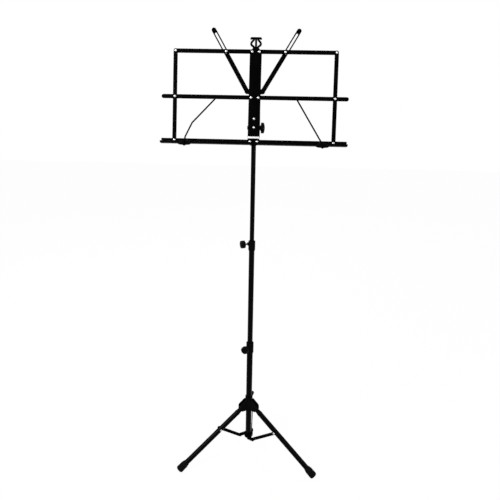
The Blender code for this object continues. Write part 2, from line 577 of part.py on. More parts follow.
def build_spine_fittings(spine):
    """Inner bracket, ledge plate, arm yoke, pivot rivets, tilt bolt and tilt knob."""
    half = SPINE_W / 2 - SHEET - GAP
    low = PLATE_BOTTOM + 3 * MM
    high = 22 * MM
    holes = [circle(side * PIVOT_U, LEDGE_V, RIVET_R + GAP) for side in (-1, 1)]
    face = slab(bmesh.new(), [(-half, low), (half, low), (half, high), (-half, high)], holes,
                plane_y(-GAP), plane_y(-GAP - SHEET))
    studs = []
    for v in FACE_SCREWS_V:
        stud = rivet(bmesh.new(), 0, v, -GAP - SHEET * 0.5, SHEET)
        bmesh.ops.transform(stud, matrix=Matrix.Translation((0, plane_y(0), 0)), verts=stud.verts)
        studs.append(stud)
    lift = Matrix.Rotation(math.radians(90), 4, "Z")
    sides = []
    for side in (-1, 1):
        span = sorted((side * (half - SHEET), side * half))
        deep = plane_y(-DEEP_FLANGE + 2 * MM)
        front = plane_y(-GAP - SHEET * 0.5)
        outline = [(front, low), (plane_y(-10 * MM), low), (deep, low + 14 * MM), (deep, high), (front, high)]
        sides.append(slab(bmesh.new(), outline, [circle(0, 0, BOLT_R + GAP, 14)], -span[1], -span[0], lift))
    finish("inner_bracket", fuse(face, sides + studs), "zinc", spine)

    wide = SPINE_W / 2
    outer = [(wide, PLATE_TOP), (wide, PLATE_TOP - 12 * MM), (wide - 3 * MM, PLATE_BOTTOM + 3 * MM),
             (7 * MM, PLATE_BOTTOM), (-7 * MM, PLATE_BOTTOM), (-wide + 3 * MM, PLATE_BOTTOM + 3 * MM),
             (-wide, PLATE_TOP - 12 * MM), (-wide, PLATE_TOP)]
    plate = slab(bmesh.new(), outer, holes, plane_y(SHEET), plane_y(0))
    finish("ledge_plate", plate, "black_steel", spine)

    ear = 6.5 * MM
    yoke = slab(bmesh.new(), stadium((-ARM_U, ARM_V), (ARM_U, ARM_V), ear, 8), [],
                plane_y(YOKE_W0), plane_y(YOKE_W1))
    shift = Matrix.Translation((0, plane_y(0), 0))
    studs = [rivet(bmesh.new(), side * ARM_U, ARM_V, YOKE_W0 + GAP, ARM_W1) for side in (-1, 1)]
    studs.append(rivet(bmesh.new(), 0, ARM_V, YOKE_W0 + GAP, SHEET))
    for stud in studs:
        bmesh.ops.transform(stud, matrix=shift, verts=stud.verts)
    studs.append(rod(bmesh.new(), 3.2 * MM, YOKE_W1 - 0.5 * MM, -GAP, 14,
                     Matrix.Translation((0, plane_y(0), ARM_V)) @ TO_W))
    finish("arm_yoke", fuse(yoke, studs), "black_steel", spine)

    for label, side in (("left", -1), ("right", 1)):
        for row, v in (("top", TOP_V), ("middle", MIDDLE_V), ("ledge", LEDGE_V)):
            back = -GAP - SHEET - GAP if row == "ledge" else -GAP
            front = BAR_W0 + LEDGE_T if row == "ledge" else BAR_W1
            stud = rivet(bmesh.new(), side * PIVOT_U, 0, back, front)
            finish("pivot_rivet_%s_%s" % (row, label), stud, "nickel", spine, (0, plane_y(0), v))

    out = SPINE_W / 2 + GAP
    bolt = turned(bmesh.new(), [
        (0, -out - 3.4 * MM), (3.5 * MM, -out - 3.4 * MM), (5.0 * MM, -out - 2.0 * MM), (5.0 * MM, -out),
        (BOLT_R, -out), (BOLT_R, out + TILT_BOSS_T + 6 * MM), (0, out + TILT_BOSS_T + 6 * MM)],
        False, 16, TO_X)
    finish("tilt_bolt", bolt, "nickel", spine)
    knob = knob_body(bmesh.new(), TILT_KNOB_R, TILT_KNOB_T, BOLT_R + GAP, TILT_BOSS_T + 6 * MM + GAP,
                     TILT_BOSS_R, TILT_BOSS_T, 2.6 * MM, 8, out, TO_X, 32)
    finish("tilt_knob", knob, "black_plastic", spine)


def build_wing(name, side, spine):
    """One folding side of the desk: bars, ledge, slotted arm, clip and wire."""
    base = plane_y(0)
    reach = SIDE_U - PIVOT_U

    def bar(label, v, end, holes):
        """A flat bar pivoted on the spine."""
        bm = desk_slab(bmesh.new(), stadium((0, 0), (side * end, 0), BAR_W / 2),
                       [circle(side * u, 0, RIVET_R + GAP) for u in holes], BAR_W0, BAR_W1)
        return finish(label + name, bm, "black_steel", spine, (side * PIVOT_U, base, v))

    top = bar("top_bar_", TOP_V, reach, (0, ARM_PIN_R, reach))
    bar("middle_bar_", MIDDLE_V, MIDDLE_END - PIVOT_U - BAR_W / 2, (0, reach))

    pin = bmesh.new()
    back = ARM_W0 - GAP
    face = BAR_W1 + GAP
    small = 1.1 * MM
    seat = BAR_W0 - GAP
    turned(pin, [(0, back - 1.0 * MM), (3.4 * MM, back - 1.0 * MM), (3.4 * MM, back), (small, back),
                 (small, seat - 1.2 * MM), (RIVET_R + 1 * MM, seat - 1.2 * MM), (RIVET_R + 1 * MM, seat),
                 (RIVET_R, seat), (RIVET_R, face), (RIVET_HEAD_R, face),
                 (RIVET_HEAD_R * 0.88, face + RIVET_HEAD_H * 0.6),
                 (RIVET_HEAD_R * 0.5, face + RIVET_HEAD_H * 0.95), (0, face + RIVET_HEAD_H)],
           False, 14, Matrix.Translation((side * ARM_PIN_R, 0, 0)) @ TO_W)
    finish("arm_pin_" + name, pin, "nickel", top)

    run_u = PIVOT_U + ARM_PIN_R - ARM_U
    run_v = TOP_V - ARM_V
    lean = math.atan2(run_u, run_v) + ARM_TRIM
    to_pin = math.hypot(run_u, run_v)
    slot = stadium((0, to_pin - 1.5 * MM), (0, ARM_LEN - ARM_TIP), ARM_SLOT_W / 2, 6)
    arm = desk_slab(bmesh.new(), stadium((0, 0), (0, ARM_LEN - ARM_W / 2), ARM_W / 2, 8),
                    [slot, circle(0, 0, RIVET_R + GAP)], ARM_W0, ARM_W1)
    bmesh.ops.transform(arm, matrix=Matrix.Rotation(side * lean, 4, "Y"), verts=arm.verts)
    finish("slotted_arm_" + name, arm, "black_steel", spine, (side * ARM_U, base, ARM_V))

    start = -BAR_W / 2
    end = LEDGE_END - PIVOT_U
    shelf = -LEDGE_BELOW
    lip, web = SHELF_DEPTH - LEDGE_T, BAR_W0 + LEDGE_T
    bend = 0.5 * MM
    section = [(BAR_W0, LEDGE_ABOVE), (BAR_W0, shelf), (SHELF_DEPTH, shelf), (SHELF_DEPTH, shelf + LIP_H),
               (lip, shelf + LIP_H), (lip, shelf + LEDGE_T + bend), (lip - bend, shelf + LEDGE_T),
               (web + bend, shelf + LEDGE_T), (web, shelf + LEDGE_T + bend), (web, LEDGE_ABOVE)]
    turn = Matrix.Rotation(math.radians(-90), 4, "Z")
    span = sorted((side * start, side * end))
    body = slab(bmesh.new(), section, [], span[0], span[1], turn)
    cuts = []
    for u in (0, reach):
        cuts.append(rod(bmesh.new(), RIVET_R + GAP, 0, SIDE_W0, 12,
                        Matrix.Translation((side * u, 0, 0)) @ TO_W))
    ledge = finish("ledge_" + name, fuse(body, cuts, "DIFFERENCE"), "black_steel", spine,
                   (side * PIVOT_U, base, LEDGE_V))

    rise_mid, rise_top = MIDDLE_V - LEDGE_V, TOP_V - LEDGE_V
    post = desk_slab(bmesh.new(), stadium((0, 0), (0, rise_top), BAR_W / 2),
                     [circle(0, v, RIVET_R + GAP) for v in (0, rise_mid, rise_top)], SIDE_W0, SIDE_W1)
    side_bar = finish("side_bar_" + name, post, "black_steel", ledge, (side * reach, 0, 0))
    for row, v in (("ledge", 0), ("middle", rise_mid), ("top", rise_top)):
        stud = rivet(bmesh.new(), 0, 0, BAR_W0, SIDE_W1)
        finish("side_rivet_%s_%s" % (row, name), stud, "nickel", side_bar, (0, 0, v))

    build_clip(name, side, ledge)


def butterfly(width, height):
    """The outline of a page clip: two drooping lobes and a hump between them."""
    points = []
    steps = 28
    for i in range(steps):
        a = 2 * math.pi * i / steps
        x = width / 2 * math.cos(a)
        waist = 1 - 0.38 * math.exp(-(x / (width * 0.14)) ** 2)
        z = height / 2 * math.sin(a)
        lift = 0.1 * height * math.cos(2 * a)
        points.append((x, z * (waist if z > 0 else 1.0) - lift))
    return points


def build_clip(name, side, ledge):
    """The moulded page clip on the ledge's lip and its spring wire."""
    front = SHELF_DEPTH + GAP
    centre_v = -LEDGE_BELOW + 0.5 * MM
    boss_v = centre_v - 1.5 * MM
    place = (side * (CLIP_U - PIVOT_U), 0, 0)
    outline = [(x, z + centre_v) for x, z in butterfly(CLIP_W, CLIP_H)]
    bm = desk_slab(bmesh.new(), outline, [circle(0, boss_v, WIRE_R + GAP, 12)], front, front + CLIP_T)
    finish("page_clip_" + name, bm, "black_plastic", ledge, place)

    out = front + CLIP_T + GAP + WIRE_R + (1.0 * MM if side < 0 else 6.0 * MM)
    rise, bend, tip = [Vector((-side * u * MM, -out, v * MM)) for u, v in (WIRE_LEFT if side < 0 else WIRE_RIGHT)]
    tip.y += 12 * MM
    path = [Vector((0, -front - 1.0 * MM, 0)), Vector((0, -out, 0)), rise, bend, tip]
    wire = sweep(bmesh.new(), rounded(path, 2.4 * MM, 4), WIRE_R, 8)
    finish("page_wire_" + name, wire, "black_steel", ledge, (place[0], 0, boss_v))


def rim_reach(across):
    """How far a foot reaches from the post along a direction at an angle to its leg."""
    cos_a = math.cos(math.radians(across))
    rim = FOOT_R - FOOT_ROUND
    along = (foot_reach() - FOOT_ROUND) * math.cos(LEG_SLOPE)
    slant = math.sqrt(1 - (math.cos(LEG_SLOPE) * cos_a) ** 2)
    return (PIVOT_RADIUS + along) * cos_a + rim * slant + FOOT_ROUND


def build():
    """Make the whole stand, with the origin at the middle of its footprint."""
    clear_scene()
    stand = bpy.data.objects.new("stand", None)
    bpy.context.collection.objects.link(stand)
    stand.location = (0, (rim_reach(60.0) - rim_reach(0.0)) / 2, 0)
    lower = build_post(stand)
    build_hub(stand)
    build_bracket(lower)
    for index, azimuth in enumerate(LEG_AZIMUTHS, 1):
        build_leg(index, azimuth, stand)
    spine = build_spine(stand)
    build_spine_fittings(spine)
    build_wing("left", -1, spine)
    build_wing("right", 1, spine)


build()
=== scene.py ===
"""Folding music stand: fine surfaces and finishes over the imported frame.

Metres, +Z up.  The desk leans back, so its pieces are worked out in a desk
frame: u to the player's right, v up the desk and w toward the player, with
w = 0 on the back of the spine's face and v = 0 at the tilt axis.
"""

import json
import math

import bmesh
import bpy
import numpy as np
from mathutils import Matrix, Vector


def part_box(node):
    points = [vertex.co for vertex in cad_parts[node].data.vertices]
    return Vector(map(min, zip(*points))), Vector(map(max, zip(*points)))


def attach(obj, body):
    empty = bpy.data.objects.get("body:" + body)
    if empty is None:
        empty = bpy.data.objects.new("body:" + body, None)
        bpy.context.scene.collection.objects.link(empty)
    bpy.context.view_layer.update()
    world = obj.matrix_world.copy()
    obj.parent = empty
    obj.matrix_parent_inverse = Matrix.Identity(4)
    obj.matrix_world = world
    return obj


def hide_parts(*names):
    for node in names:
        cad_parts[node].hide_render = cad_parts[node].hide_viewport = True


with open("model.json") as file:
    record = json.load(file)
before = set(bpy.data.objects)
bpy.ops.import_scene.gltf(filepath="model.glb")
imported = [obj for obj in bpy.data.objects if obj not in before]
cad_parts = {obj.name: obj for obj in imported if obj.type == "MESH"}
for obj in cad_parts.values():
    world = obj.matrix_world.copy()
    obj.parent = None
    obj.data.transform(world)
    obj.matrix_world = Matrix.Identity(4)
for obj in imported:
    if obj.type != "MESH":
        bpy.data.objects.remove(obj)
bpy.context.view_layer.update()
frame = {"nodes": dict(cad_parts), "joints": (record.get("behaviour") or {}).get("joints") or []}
NODES = frame["nodes"]
JOINT = {joint["name"]: joint for joint in frame["joints"]}

MM = 0.001
GAP = 0.3 * MM                 # what the frame leaves between touching pieces
SHEET = 1.2 * MM               # thickness of the pressed sheet
BAR = 1.5 * MM                 # thickness of the yoke
BAR_HALF = 5.5 * MM            # half widths of the desk's bars and slotted arms
ARM_HALF = 6.0 * MM
CHAMFER = 0.4 * MM             # at the mouths of moulded bores
SHARP = 35.0                   # degrees between faces that stay a sharp edge
MERGE, SLIVER = 2e-6, 1e-7     # distances for doubles and for faces of no width
END_STEPS = 14                 # points round one end of a bar


# ------------ frame of reference

def unit(vector):
    """A vector's direction as an array."""
    vector = np.array(vector, float)
    return vector / np.linalg.norm(vector)


def units(vectors):
    """Rows of vectors, each brought to length one."""
    return vectors / np.linalg.norm(vectors, axis=1)[:, None]


AXIS_U = np.array([1.0, 0.0, 0.0])
AXIS_W = unit(JOINT["wing_fold_right"]["axis"])
AXIS_V = np.cross(AXIS_W, AXIS_U)
TILT_AT = np.array(JOINT["desk_tilt"]["pos_m"], float)
UP = np.array([0.0, 0.0, 1.0])


def node_points(node):
    """All vertices of a node of the frame."""
    mesh = NODES[node].data
    points = np.empty(len(mesh.vertices) * 3)
    mesh.vertices.foreach_get("co", points)
    return points.reshape(-1, 3)


def span(node, axis, origin):
    """The lowest and highest place of a node along an axis."""
    along = (node_points(node) - origin) @ axis
    return along.min(), along.max()


FACE_BACK = span("ledge_plate", AXIS_W, TILT_AT)[0]
DESK_AT = TILT_AT + FACE_BACK * AXIS_W
POST = np.array([TILT_AT[0], TILT_AT[1], 0.0])


def desk(u, v, w=0.0):
    """A point of the desk frame in the object's frame; works on arrays too."""
    u, v, w = np.broadcast_arrays(np.asarray(u, float), v, w)
    return DESK_AT + u[..., None] * AXIS_U + v[..., None] * AXIS_V + w[..., None] * AXIS_W


def pivot(joint):
    """A joint's place in the desk frame, as (u, v)."""
    offset = np.array(JOINT[joint]["pos_m"], float) - DESK_AT
    return offset @ AXIS_U, offset @ AXIS_V


def centre(node):
    """The middle of a node in the desk frame, as (u, v)."""
    u = span(node, AXIS_U, DESK_AT)
    v = span(node, AXIS_V, DESK_AT)
    return sum(u) / 2, sum(v) / 2


def layer(node):
    """A node's lowest and highest w."""
    return span(node, AXIS_W, DESK_AT)


def half_width(node):
    """Half a node's width along X."""
    low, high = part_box(node)
    return (high.x - low.x) / 2


def clamp_line(joint):
    """Where a clamp's screw would meet the post's axis, and the way it points."""
    return POST + JOINT[joint]["pos_m"][2] * UP, unit(JOINT[joint]["axis"])


# ------------ curves and profiles

def eased(x):
    """A smooth step from 0 to 1: three x squared less two x cubed."""
    return x * x * (3 - 2 * x)


def arc(at, radius, start, end, steps):
    """Points of a circle's arc in a profile plane, angles in degrees."""
    t = np.radians(np.linspace(start, end, steps))
    return [(at[0] + radius * math.cos(a), at[1] + radius * math.sin(a)) for a in t]


def rounded_rim(reach, low, high, edge, steps=4):
    """A rim's profile from low to high: two quarter rounds that touch the reach."""
    return (arc((reach - edge, low + edge), edge, -90, 0, steps)
            + arc((reach - edge, high - edge), edge, 0, 90, steps))


def groove(reach, at, depth, mouth, floor):
    """A groove in a profile: its mouth and its floor are given by half widths."""
    return [(reach, at - mouth), (reach - depth, at - floor),
            (reach - depth, at + floor), (reach, at + mouth)]


def bent(one, corner, two, steps):
    """A quadratic curve from one point to another, drawn toward a corner."""
    t = np.linspace(0, 1, steps)[:, None]
    return one * (1 - t) ** 2 + corner * 2 * t * (1 - t) + two * t * t


def soft_path(points, radius, steps):
    """A path whose corners are bent to a radius: straight, quadratic curve, straight."""
    points = [np.array(p, float) for p in points]
    out = [points[0]]
    for before, corner, after in zip(points, points[1:], points[2:]):
        back, ahead = before - corner, after - corner
        one, two = unit(back), unit(ahead)
        half = math.acos(np.clip(one @ two, -1, 1)) / 2
        most = 0.45 * min(np.linalg.norm(back), np.linalg.norm(ahead))
        cut = min(radius / math.tan(half), most)
        out.extend(bent(corner + one * cut, corner, corner + two * cut, steps))
    out.append(points[-1])
    return np.array(out)


def soft_loop(corners, cuts, steps):
    """A closed outline whose corners are bent, each by its own cut length."""
    points = [np.array(p, float) for p in corners]
    out = []
    for k, cut in enumerate(cuts):
        before, corner, after = points[k - 1], points[k], points[(k + 1) % len(points)]
        one, two = corner + unit(before - corner) * cut, corner + unit(after - corner) * cut
        out.append(bent(one, corner, two, steps))
    return np.concatenate(out)


def smooth(points, steps):
    """A cubic curve through points, with tangents from each point's neighbours."""
    points = np.asarray(points, float)
    tangent = np.gradient(points, axis=0)
    t = np.linspace(0, 1, steps, endpoint=False)[None, :, None]
    p, q = points[:-1, None], points[1:, None]
    m, n = tangent[:-1, None], tangent[1:, None]
    curve = ((2 * t ** 3 - 3 * t ** 2 + 1) * p + (t ** 3 - 2 * t ** 2 + t) * m
             + (-2 * t ** 3 + 3 * t ** 2) * q + (t ** 3 - t ** 2) * n)
    return np.concatenate([curve.reshape(-1, points.shape[1]), points[-1:]])


def dense(corners, step):
    """A closed outline with points every step along its straight runs."""
    points = [np.array(p, float) for p in corners]
    out = []
    for one, two in zip(points, points[1:] + points[:1]):
        count = max(1, int(np.linalg.norm(two - one) / step))
        t = np.linspace(0, 1, count, endpoint=False)[:, None]
        out.append(one + (two - one) * t)
    return np.concatenate(out)


def strip_section(half, low, high, edge):
    """A flat strip's section: a rectangle with quarter-round corners."""
    left, right, under, over = -half + edge, half - edge, low + edge, high - edge
    section = []
    for corner, start in (((right, over), 0), ((left, over), 90), ((left, under), 180),
                          ((right, under), 270)):
        section += arc(corner, edge, start, start + 90, 4)
    return section


# ------------ surfaces

def mesh_from(name, points, faces, smooth=True, angle=SHARP):
    """A mesh object from points and faces, doubles merged, faces outward."""
    mesh = bpy.data.meshes.new(name)
    mesh.from_pydata(np.asarray(points, float).reshape(-1, 3).tolist(), [], faces)
    work = bmesh.new()
    work.from_mesh(mesh)
    bmesh.ops.remove_doubles(work, verts=work.verts, dist=MERGE)
    bmesh.ops.dissolve_degenerate(work, edges=work.edges, dist=SLIVER)
    bmesh.ops.recalc_face_normals(work, faces=work.faces)
    work.to_mesh(mesh)
    work.free()
    if smooth:
        mesh.shade_smooth()
        mesh.set_sharp_from_angle(angle=math.radians(angle))
    obj = bpy.data.objects.new(name, mesh)
    bpy.context.scene.collection.objects.link(obj)
    return obj


def grid_faces(rows, columns, wrap_rows):
    """Quads over a grid of rows by columns: its columns wrap, and its rows where asked."""
    i = np.arange(rows if wrap_rows else rows - 1)[:, None]
    j = np.arange(columns)[None, :]
    below, above = i * columns, ((i + 1) % rows) * columns
    there = (j + 1) % columns
    quads = np.stack([below + j, below + there, above + there, above + j], -1)
    return quads.reshape(-1, 4).tolist()


def surface(name, grid, wrap_rows=False, caps=False, angle=SHARP):
    """An object from a grid of points; caps close its first and last rows."""
    rows, columns = grid.shape[:2]
    faces = grid_faces(rows, columns, wrap_rows)
    if caps:
        faces.append(list(range(columns))[::-1])
        faces.append([(rows - 1) * columns + k for k in range(columns)])
    return mesh_from(name, grid, faces, angle=angle)


def side_axes(axis):
    """Two directions square to an axis and to each other."""
    axis = unit(axis)
    guide = UP if abs(axis @ UP) < 0.9 else AXIS_U
    first = unit(np.cross(guide, axis))
    return first, np.cross(axis, first)


def turned(name, profile, at, axis, sides, closed=False, shape=None):
    """A profile turned about an axis.

    Row i is the circle of radius r_i at height h_i above a point along the axis.
    shape(angle, radius, height), where given, returns the radius to use instead.
    """
    at, axis = np.array(at, float), unit(axis)
    first, second = side_axes(axis)
    r, h = np.array(profile, float).T
    angle = np.linspace(0, 2 * math.pi, sides, endpoint=False)
    radius = np.repeat(r[:, None], sides, 1)
    if shape is not None:
        radius = shape(angle[None, :], radius, h[:, None])
    ring = np.cos(angle)[:, None] * first + np.sin(angle)[:, None] * second
    grid = at + radius[..., None] * ring[None] + h[:, None, None] * axis
    return surface(name, grid, wrap_rows=closed)


def carried(name, path, section, normal):
    """A closed section carried along a path.

    At each point of the path the section's first number runs along the side
    direction (heading x normal) and its second along the local normal.
    """
    path = np.array(path, float)
    heading = units(np.gradient(path, axis=0))
    side = units(np.cross(heading, np.array(normal, float)))
    lift = np.cross(side, heading)
    sideways, upward = np.array(section, float).T
    grid = path[:, None] + sideways[:, None] * side[:, None] + upward[:, None] * lift[:, None]
    return surface(name, grid, caps=True)


def strap(name, a, b, radius, low, high, place, edge=0.35 * MM, hole=None):
    """A flat bar with round ends and softened edges, optionally with a long slot.

    Around the outline the angle s runs over two half circles centred on a and b;
    across the section q runs up the rounded rim and over both faces.  The point
    is the line's nearest end plus r(q) along the direction s, at height h(q).
    A slot's rim has its own ends and radius, and the faces blend to it linearly.
    """
    a, b = np.array(a, float), np.array(b, float)
    along = unit(b - a)
    across = np.array([-along[1], along[0]])
    quarter = math.pi / 2
    t = np.concatenate([np.linspace(-quarter, quarter, END_STEPS),
                        np.linspace(quarter, 3 * quarter, END_STEPS)])
    facing = np.cos(t)[:, None] * along + np.sin(t)[:, None] * across

    def rings(first, last, r):
        """Outlines at distances r around the line between two ends."""
        return np.repeat([last, first], END_STEPS, axis=0)[None] + r[:, None, None] * facing[None]

    r, h = np.array(rounded_rim(radius, low, high, edge)).T
    if hole is None:
        h = np.concatenate([[low], h, [high]])
        flat = rings(a, b, np.concatenate([[0.0], r, [0.0]]))
    else:
        first, last, inner = hole
        well_r, well_h = np.array(arc((inner + edge, high - edge), edge, 90, 180, 4)
                                  + arc((inner + edge, low + edge), edge, 180, 270, 4)).T
        h = np.concatenate([h, well_h])
        flat = np.concatenate([rings(a, b, r), rings(first, last, well_r)])
    grid = place(flat[..., 0], flat[..., 1], h[:, None])
    return surface(name, grid, wrap_rows=hole is not None)


def plate(name, outline, low, high, place, edge=0.3 * MM):
    """A flat plate with a softened rim, for an outline that can be seen whole from its middle.

    The faces run from the outline, drawn in by the rim's radius, to the centre.
    """
    outline = np.array(outline, float)
    middle = np.repeat(outline.mean(0)[None, None], len(outline), 1)
    ahead = np.roll(outline, -1, 0) - np.roll(outline, 1, 0)
    normal = units(np.stack([ahead[:, 1], -ahead[:, 0]], 1))
    if ((outline - middle[0]) * normal).sum() < 0:
        normal = -normal
    draw, h = np.array(rounded_rim(0, low, high, edge)).T
    flat = np.concatenate([middle, outline + draw[:, None, None] * normal, middle])
    h = np.concatenate([[low], h, [high]])
    return surface(name, place(flat[..., 0], flat[..., 1], h[:, None]), angle=50)


def fit(obj, body, slot, mat, *nodes):
    """Give a new piece its body and its finish, and hide the nodes it stands for; its slot is not
    used.
    """
    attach(obj, body)
    if nodes:
        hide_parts(*nodes)
    obj.data.materials.clear()
    obj.data.materials.append(mat)


# ------------ finishes

class Finish:
    """A node material whose patterns lie on Object coordinates."""

    def __init__(self, name):
        """An empty material with its shader and its coordinates."""
        self.mat = bpy.data.materials.new(name)
        self.mat.use_nodes = True
        self.nodes = self.mat.node_tree.nodes
        self.links = self.mat.node_tree.links
        self.shader = self.nodes["Principled BSDF"]
        self.coords = self.nodes.new("ShaderNodeTexCoord").outputs["Object"]

    def node(self, kind, **inputs):
        """A new node with values on its inputs."""
        made = self.nodes.new(kind)
        for socket, value in inputs.items():
            made.inputs[socket].default_value = value
        return made

    def set(self, socket, value):
        """Set one of the shader's own sockets."""
        self.shader.inputs[socket].default_value = value

    def feed(self, source, socket):
        """Link a pattern into the shader."""
        self.links.new(source, self.shader.inputs[socket])

    def noise(self, scale, detail, rough=0.55, source=None):
        """A noise texture on the object's own or the given coordinates."""
        made = self.node("ShaderNodeTexNoise", Scale=scale, Detail=detail, Roughness=rough)
        self.links.new(self.coords if source is None else source, made.inputs["Vector"])
        return made.outputs["Fac"]

    def ramp(self, source, low, high, start=0.3, end=0.7):
        """Map a value onto a range between two colours."""
        made = self.node("ShaderNodeValToRGB")
        for element, at, colour in zip(made.color_ramp.elements, (start, end), (low, high)):
            element.position = at
            element.color = (*colour, 1)
        self.links.new(source, made.inputs["Fac"])
        return made.outputs["Color"]

    def relief(self, height, strength, distance):
        """Bump from a height onto the shader's normal."""
        made = self.node("ShaderNodeBump", Strength=strength, Distance=distance)
        self.links.new(height, made.inputs["Height"])
        self.feed(made.outputs["Normal"], "Normal")


def grey(value):
    """A neutral colour of a value."""
    return (value, value, value)


def coat_finish(name, colour, rough, peel, gloss):
    """Powder coat or gloss paint: orange peel, faint handling marks and dust."""
    finish = Finish(name)
    finish.set("Specular IOR Level", gloss)
    dusty = tuple(c * 2.4 + 0.0003 for c in colour)
    dust = finish.noise(scale=38, detail=4)
    finish.feed(finish.ramp(dust, colour, dusty, 0.42, 0.75), "Base Color")
    marks = finish.noise(scale=160, detail=5, rough=0.65)
    finish.feed(finish.ramp(marks, grey(rough * 0.82), grey(rough * 1.3), 0.35, 0.7), "Roughness")
    finish.relief(finish.noise(scale=peel, detail=2, rough=0.5), strength=0.12, distance=0.1 * MM)
    return finish.mat


def moulded_finish(name, colour, rough, grain, gloss):
    """Moulded plastic or rubber: a fine spark-eroded grain and a slow change of gloss."""
    finish = Finish(name)
    finish.set("Specular IOR Level", gloss)
    light = tuple(c * 1.9 + 0.0007 for c in colour)
    slow = finish.noise(scale=60, detail=3)
    finish.feed(finish.ramp(slow, colour, light), "Base Color")
    finish.feed(finish.ramp(slow, grey(rough * 0.85), grey(rough * 1.2)), "Roughness")
    finish.relief(finish.noise(scale=grain, detail=2, rough=0.6), strength=0.3, distance=0.15 * MM)
    return finish.mat


def plated_finish(name, colour, rough, stretch):
    """Plated or brushed metal: fine drawn lines and a mottled gloss."""
    finish = Finish(name)
    finish.set("Metallic", 1.0)
    drawn = finish.node("ShaderNodeMapping", Scale=stretch)
    finish.links.new(finish.coords, drawn.inputs["Vector"])
    lines = finish.noise(scale=700, detail=3, rough=0.6, source=drawn.outputs["Vector"])
    spots = finish.noise(scale=220, detail=4, rough=0.6)
    dark = tuple(c * 0.72 for c in colour)
    finish.feed(finish.ramp(spots, dark, colour, 0.3, 0.6), "Base Color")
    finish.feed(finish.ramp(lines, grey(rough * 0.75), grey(rough * 1.35)), "Roughness")
    finish.relief(lines, strength=0.15, distance=0.1 * MM)
    return finish.mat


TUBE_COAT = coat_finish("post_gloss_coat", (0.0004, 0.0004, 0.0005),
                        rough=0.2, peel=900, gloss=0.03)
DESK_COAT = coat_finish("desk_satin_coat", (0.0005, 0.0005, 0.0006),
                        rough=0.4, peel=1100, gloss=0.01)
WIRE_COAT = coat_finish("wire_coat", (0.0005, 0.0005, 0.0006),
                        rough=0.36, peel=1500, gloss=0.01)
PLASTIC = moulded_finish("moulded_black", (0.0012, 0.0012, 0.0013),
                         rough=0.44, grain=1400, gloss=0.015)
KNOB_PLASTIC = moulded_finish("knob_black", (0.0011, 0.0011, 0.0012),
                              rough=0.42, grain=1700, gloss=0.015)
RUBBER = moulded_finish("foot_rubber", (0.0020, 0.0020, 0.0021), rough=0.72, grain=900, gloss=0.03)
NICKEL = plated_finish("nickel_plate", (0.62, 0.61, 0.6), rough=0.24, stretch=(1, 1, 1))
ZINC = plated_finish("zinc_plate", (0.8, 0.81, 0.82), rough=0.42, stretch=(1, 1, 0.06))


# ------------ post

def tube(node, body, wall):
    """A drawn tube with softened lips at both mouths."""
    low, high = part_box(node)
    radius, soft = half_width(node), 0.3 * MM
    inner, flare = radius - wall, 0.7 * soft
    profile = [(inner, low.z + soft), (inner + flare, low.z)]
    profile += rounded_rim(radius, low.z, high.z, soft)
    profile += [(inner + flare, high.z), (inner, high.z - soft)]
    skin = turned(node + "_skin", profile, POST, UP, 72, closed=True)
    fit(skin, body, "black_steel", TUBE_COAT, node)


def boss(name, body, joint, start, reach, radius, soft, mouth, *nodes):
    """A clamp screw's boss: a stub with a rounded rim and a countersunk mouth."""
    at, axis = clamp_line(joint)
    shank, seat = 2.5 * MM, reach - 0.6 * MM
    profile = [(0, start), (radius, start)]
    profile += arc((radius - soft, reach - soft), soft, 0, 90, 5)
    profile += [(mouth, reach), (shank, seat), (0, seat)]
    fit(turned(name, profile, at, axis, 40), body, "black_plastic", PLASTIC, *nodes)


def collar(node, body, joint):
    """A clamp collar: a moulded sleeve with a lip, two grooves and a tapped boss."""
    low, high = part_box(node)
    points = node_points(node)
    radii = np.hypot(*(points[:, :2] - POST[:2]).T)
    height = points[:, 2] - low.z
    lip = np.abs(height - 1.5 * MM) < 1.4 * MM
    outer, bore = radii[lip].max(), radii.min()
    step = radii[height < 0.1 * MM].min()
    floor = low.z + 8.3 * MM
    lip_soft, top_soft = 0.5 * MM, 1.3 * MM
    profile = [(step, low.z + CHAMFER), (step + CHAMFER, low.z)]
    profile += arc((outer - 1.2 * MM, low.z + lip_soft), lip_soft, -90, 0, 5)
    profile += [(outer, low.z + 4.0 * MM)]
    for band in (0.24, 0.82):
        z = low.z + band * (high.z - low.z)
        profile += groove(outer, z, depth=0.45 * MM, mouth=0.7 * MM, floor=0.3 * MM)
    profile += arc((outer - top_soft, high.z - top_soft), top_soft, 0, 90, 6)
    profile += [(bore + CHAMFER, high.z), (bore, high.z - CHAMFER), (bore, floor), (step, floor)]
    sleeve = turned(node + "_sleeve", profile, POST, UP, 72, closed=True)
    fit(sleeve, body, "black_plastic", PLASTIC, node)
    boss(node + "_boss", body, joint, 0.8 * outer, outer + 3.0 * MM, 4.9 * MM, 0.6 * MM,
         2.6 * MM, node)


def screw(node, body, joint):
    """A clamp screw: a blackened shank whose radius steps in and out as a rolled thread's does."""
    at, axis = clamp_line(joint)
    low, high = span(node, axis, at)
    near, far = span(node, side_axes(axis)[0], at)
    radius, ring, depth = (far - near) / 2, 0.5 * MM, 0.16 * MM
    count = int((high - low) / ring)
    h = np.linspace(low, high, 2 * count + 1)
    r = radius - depth * (np.arange(len(h)) % 2)
    profile = [(0, low), *zip(r, h), (0, high)]
    fit(turned(node + "_thread", profile, at, axis, 36), body, "black_steel", WIRE_COAT, node)


def flutes(angle):
    """Eight rounded flutes round a grip, from 0 between them to 1 at their deepest."""
    return (0.5 - 0.5 * np.cos(8 * angle)) ** 1.5


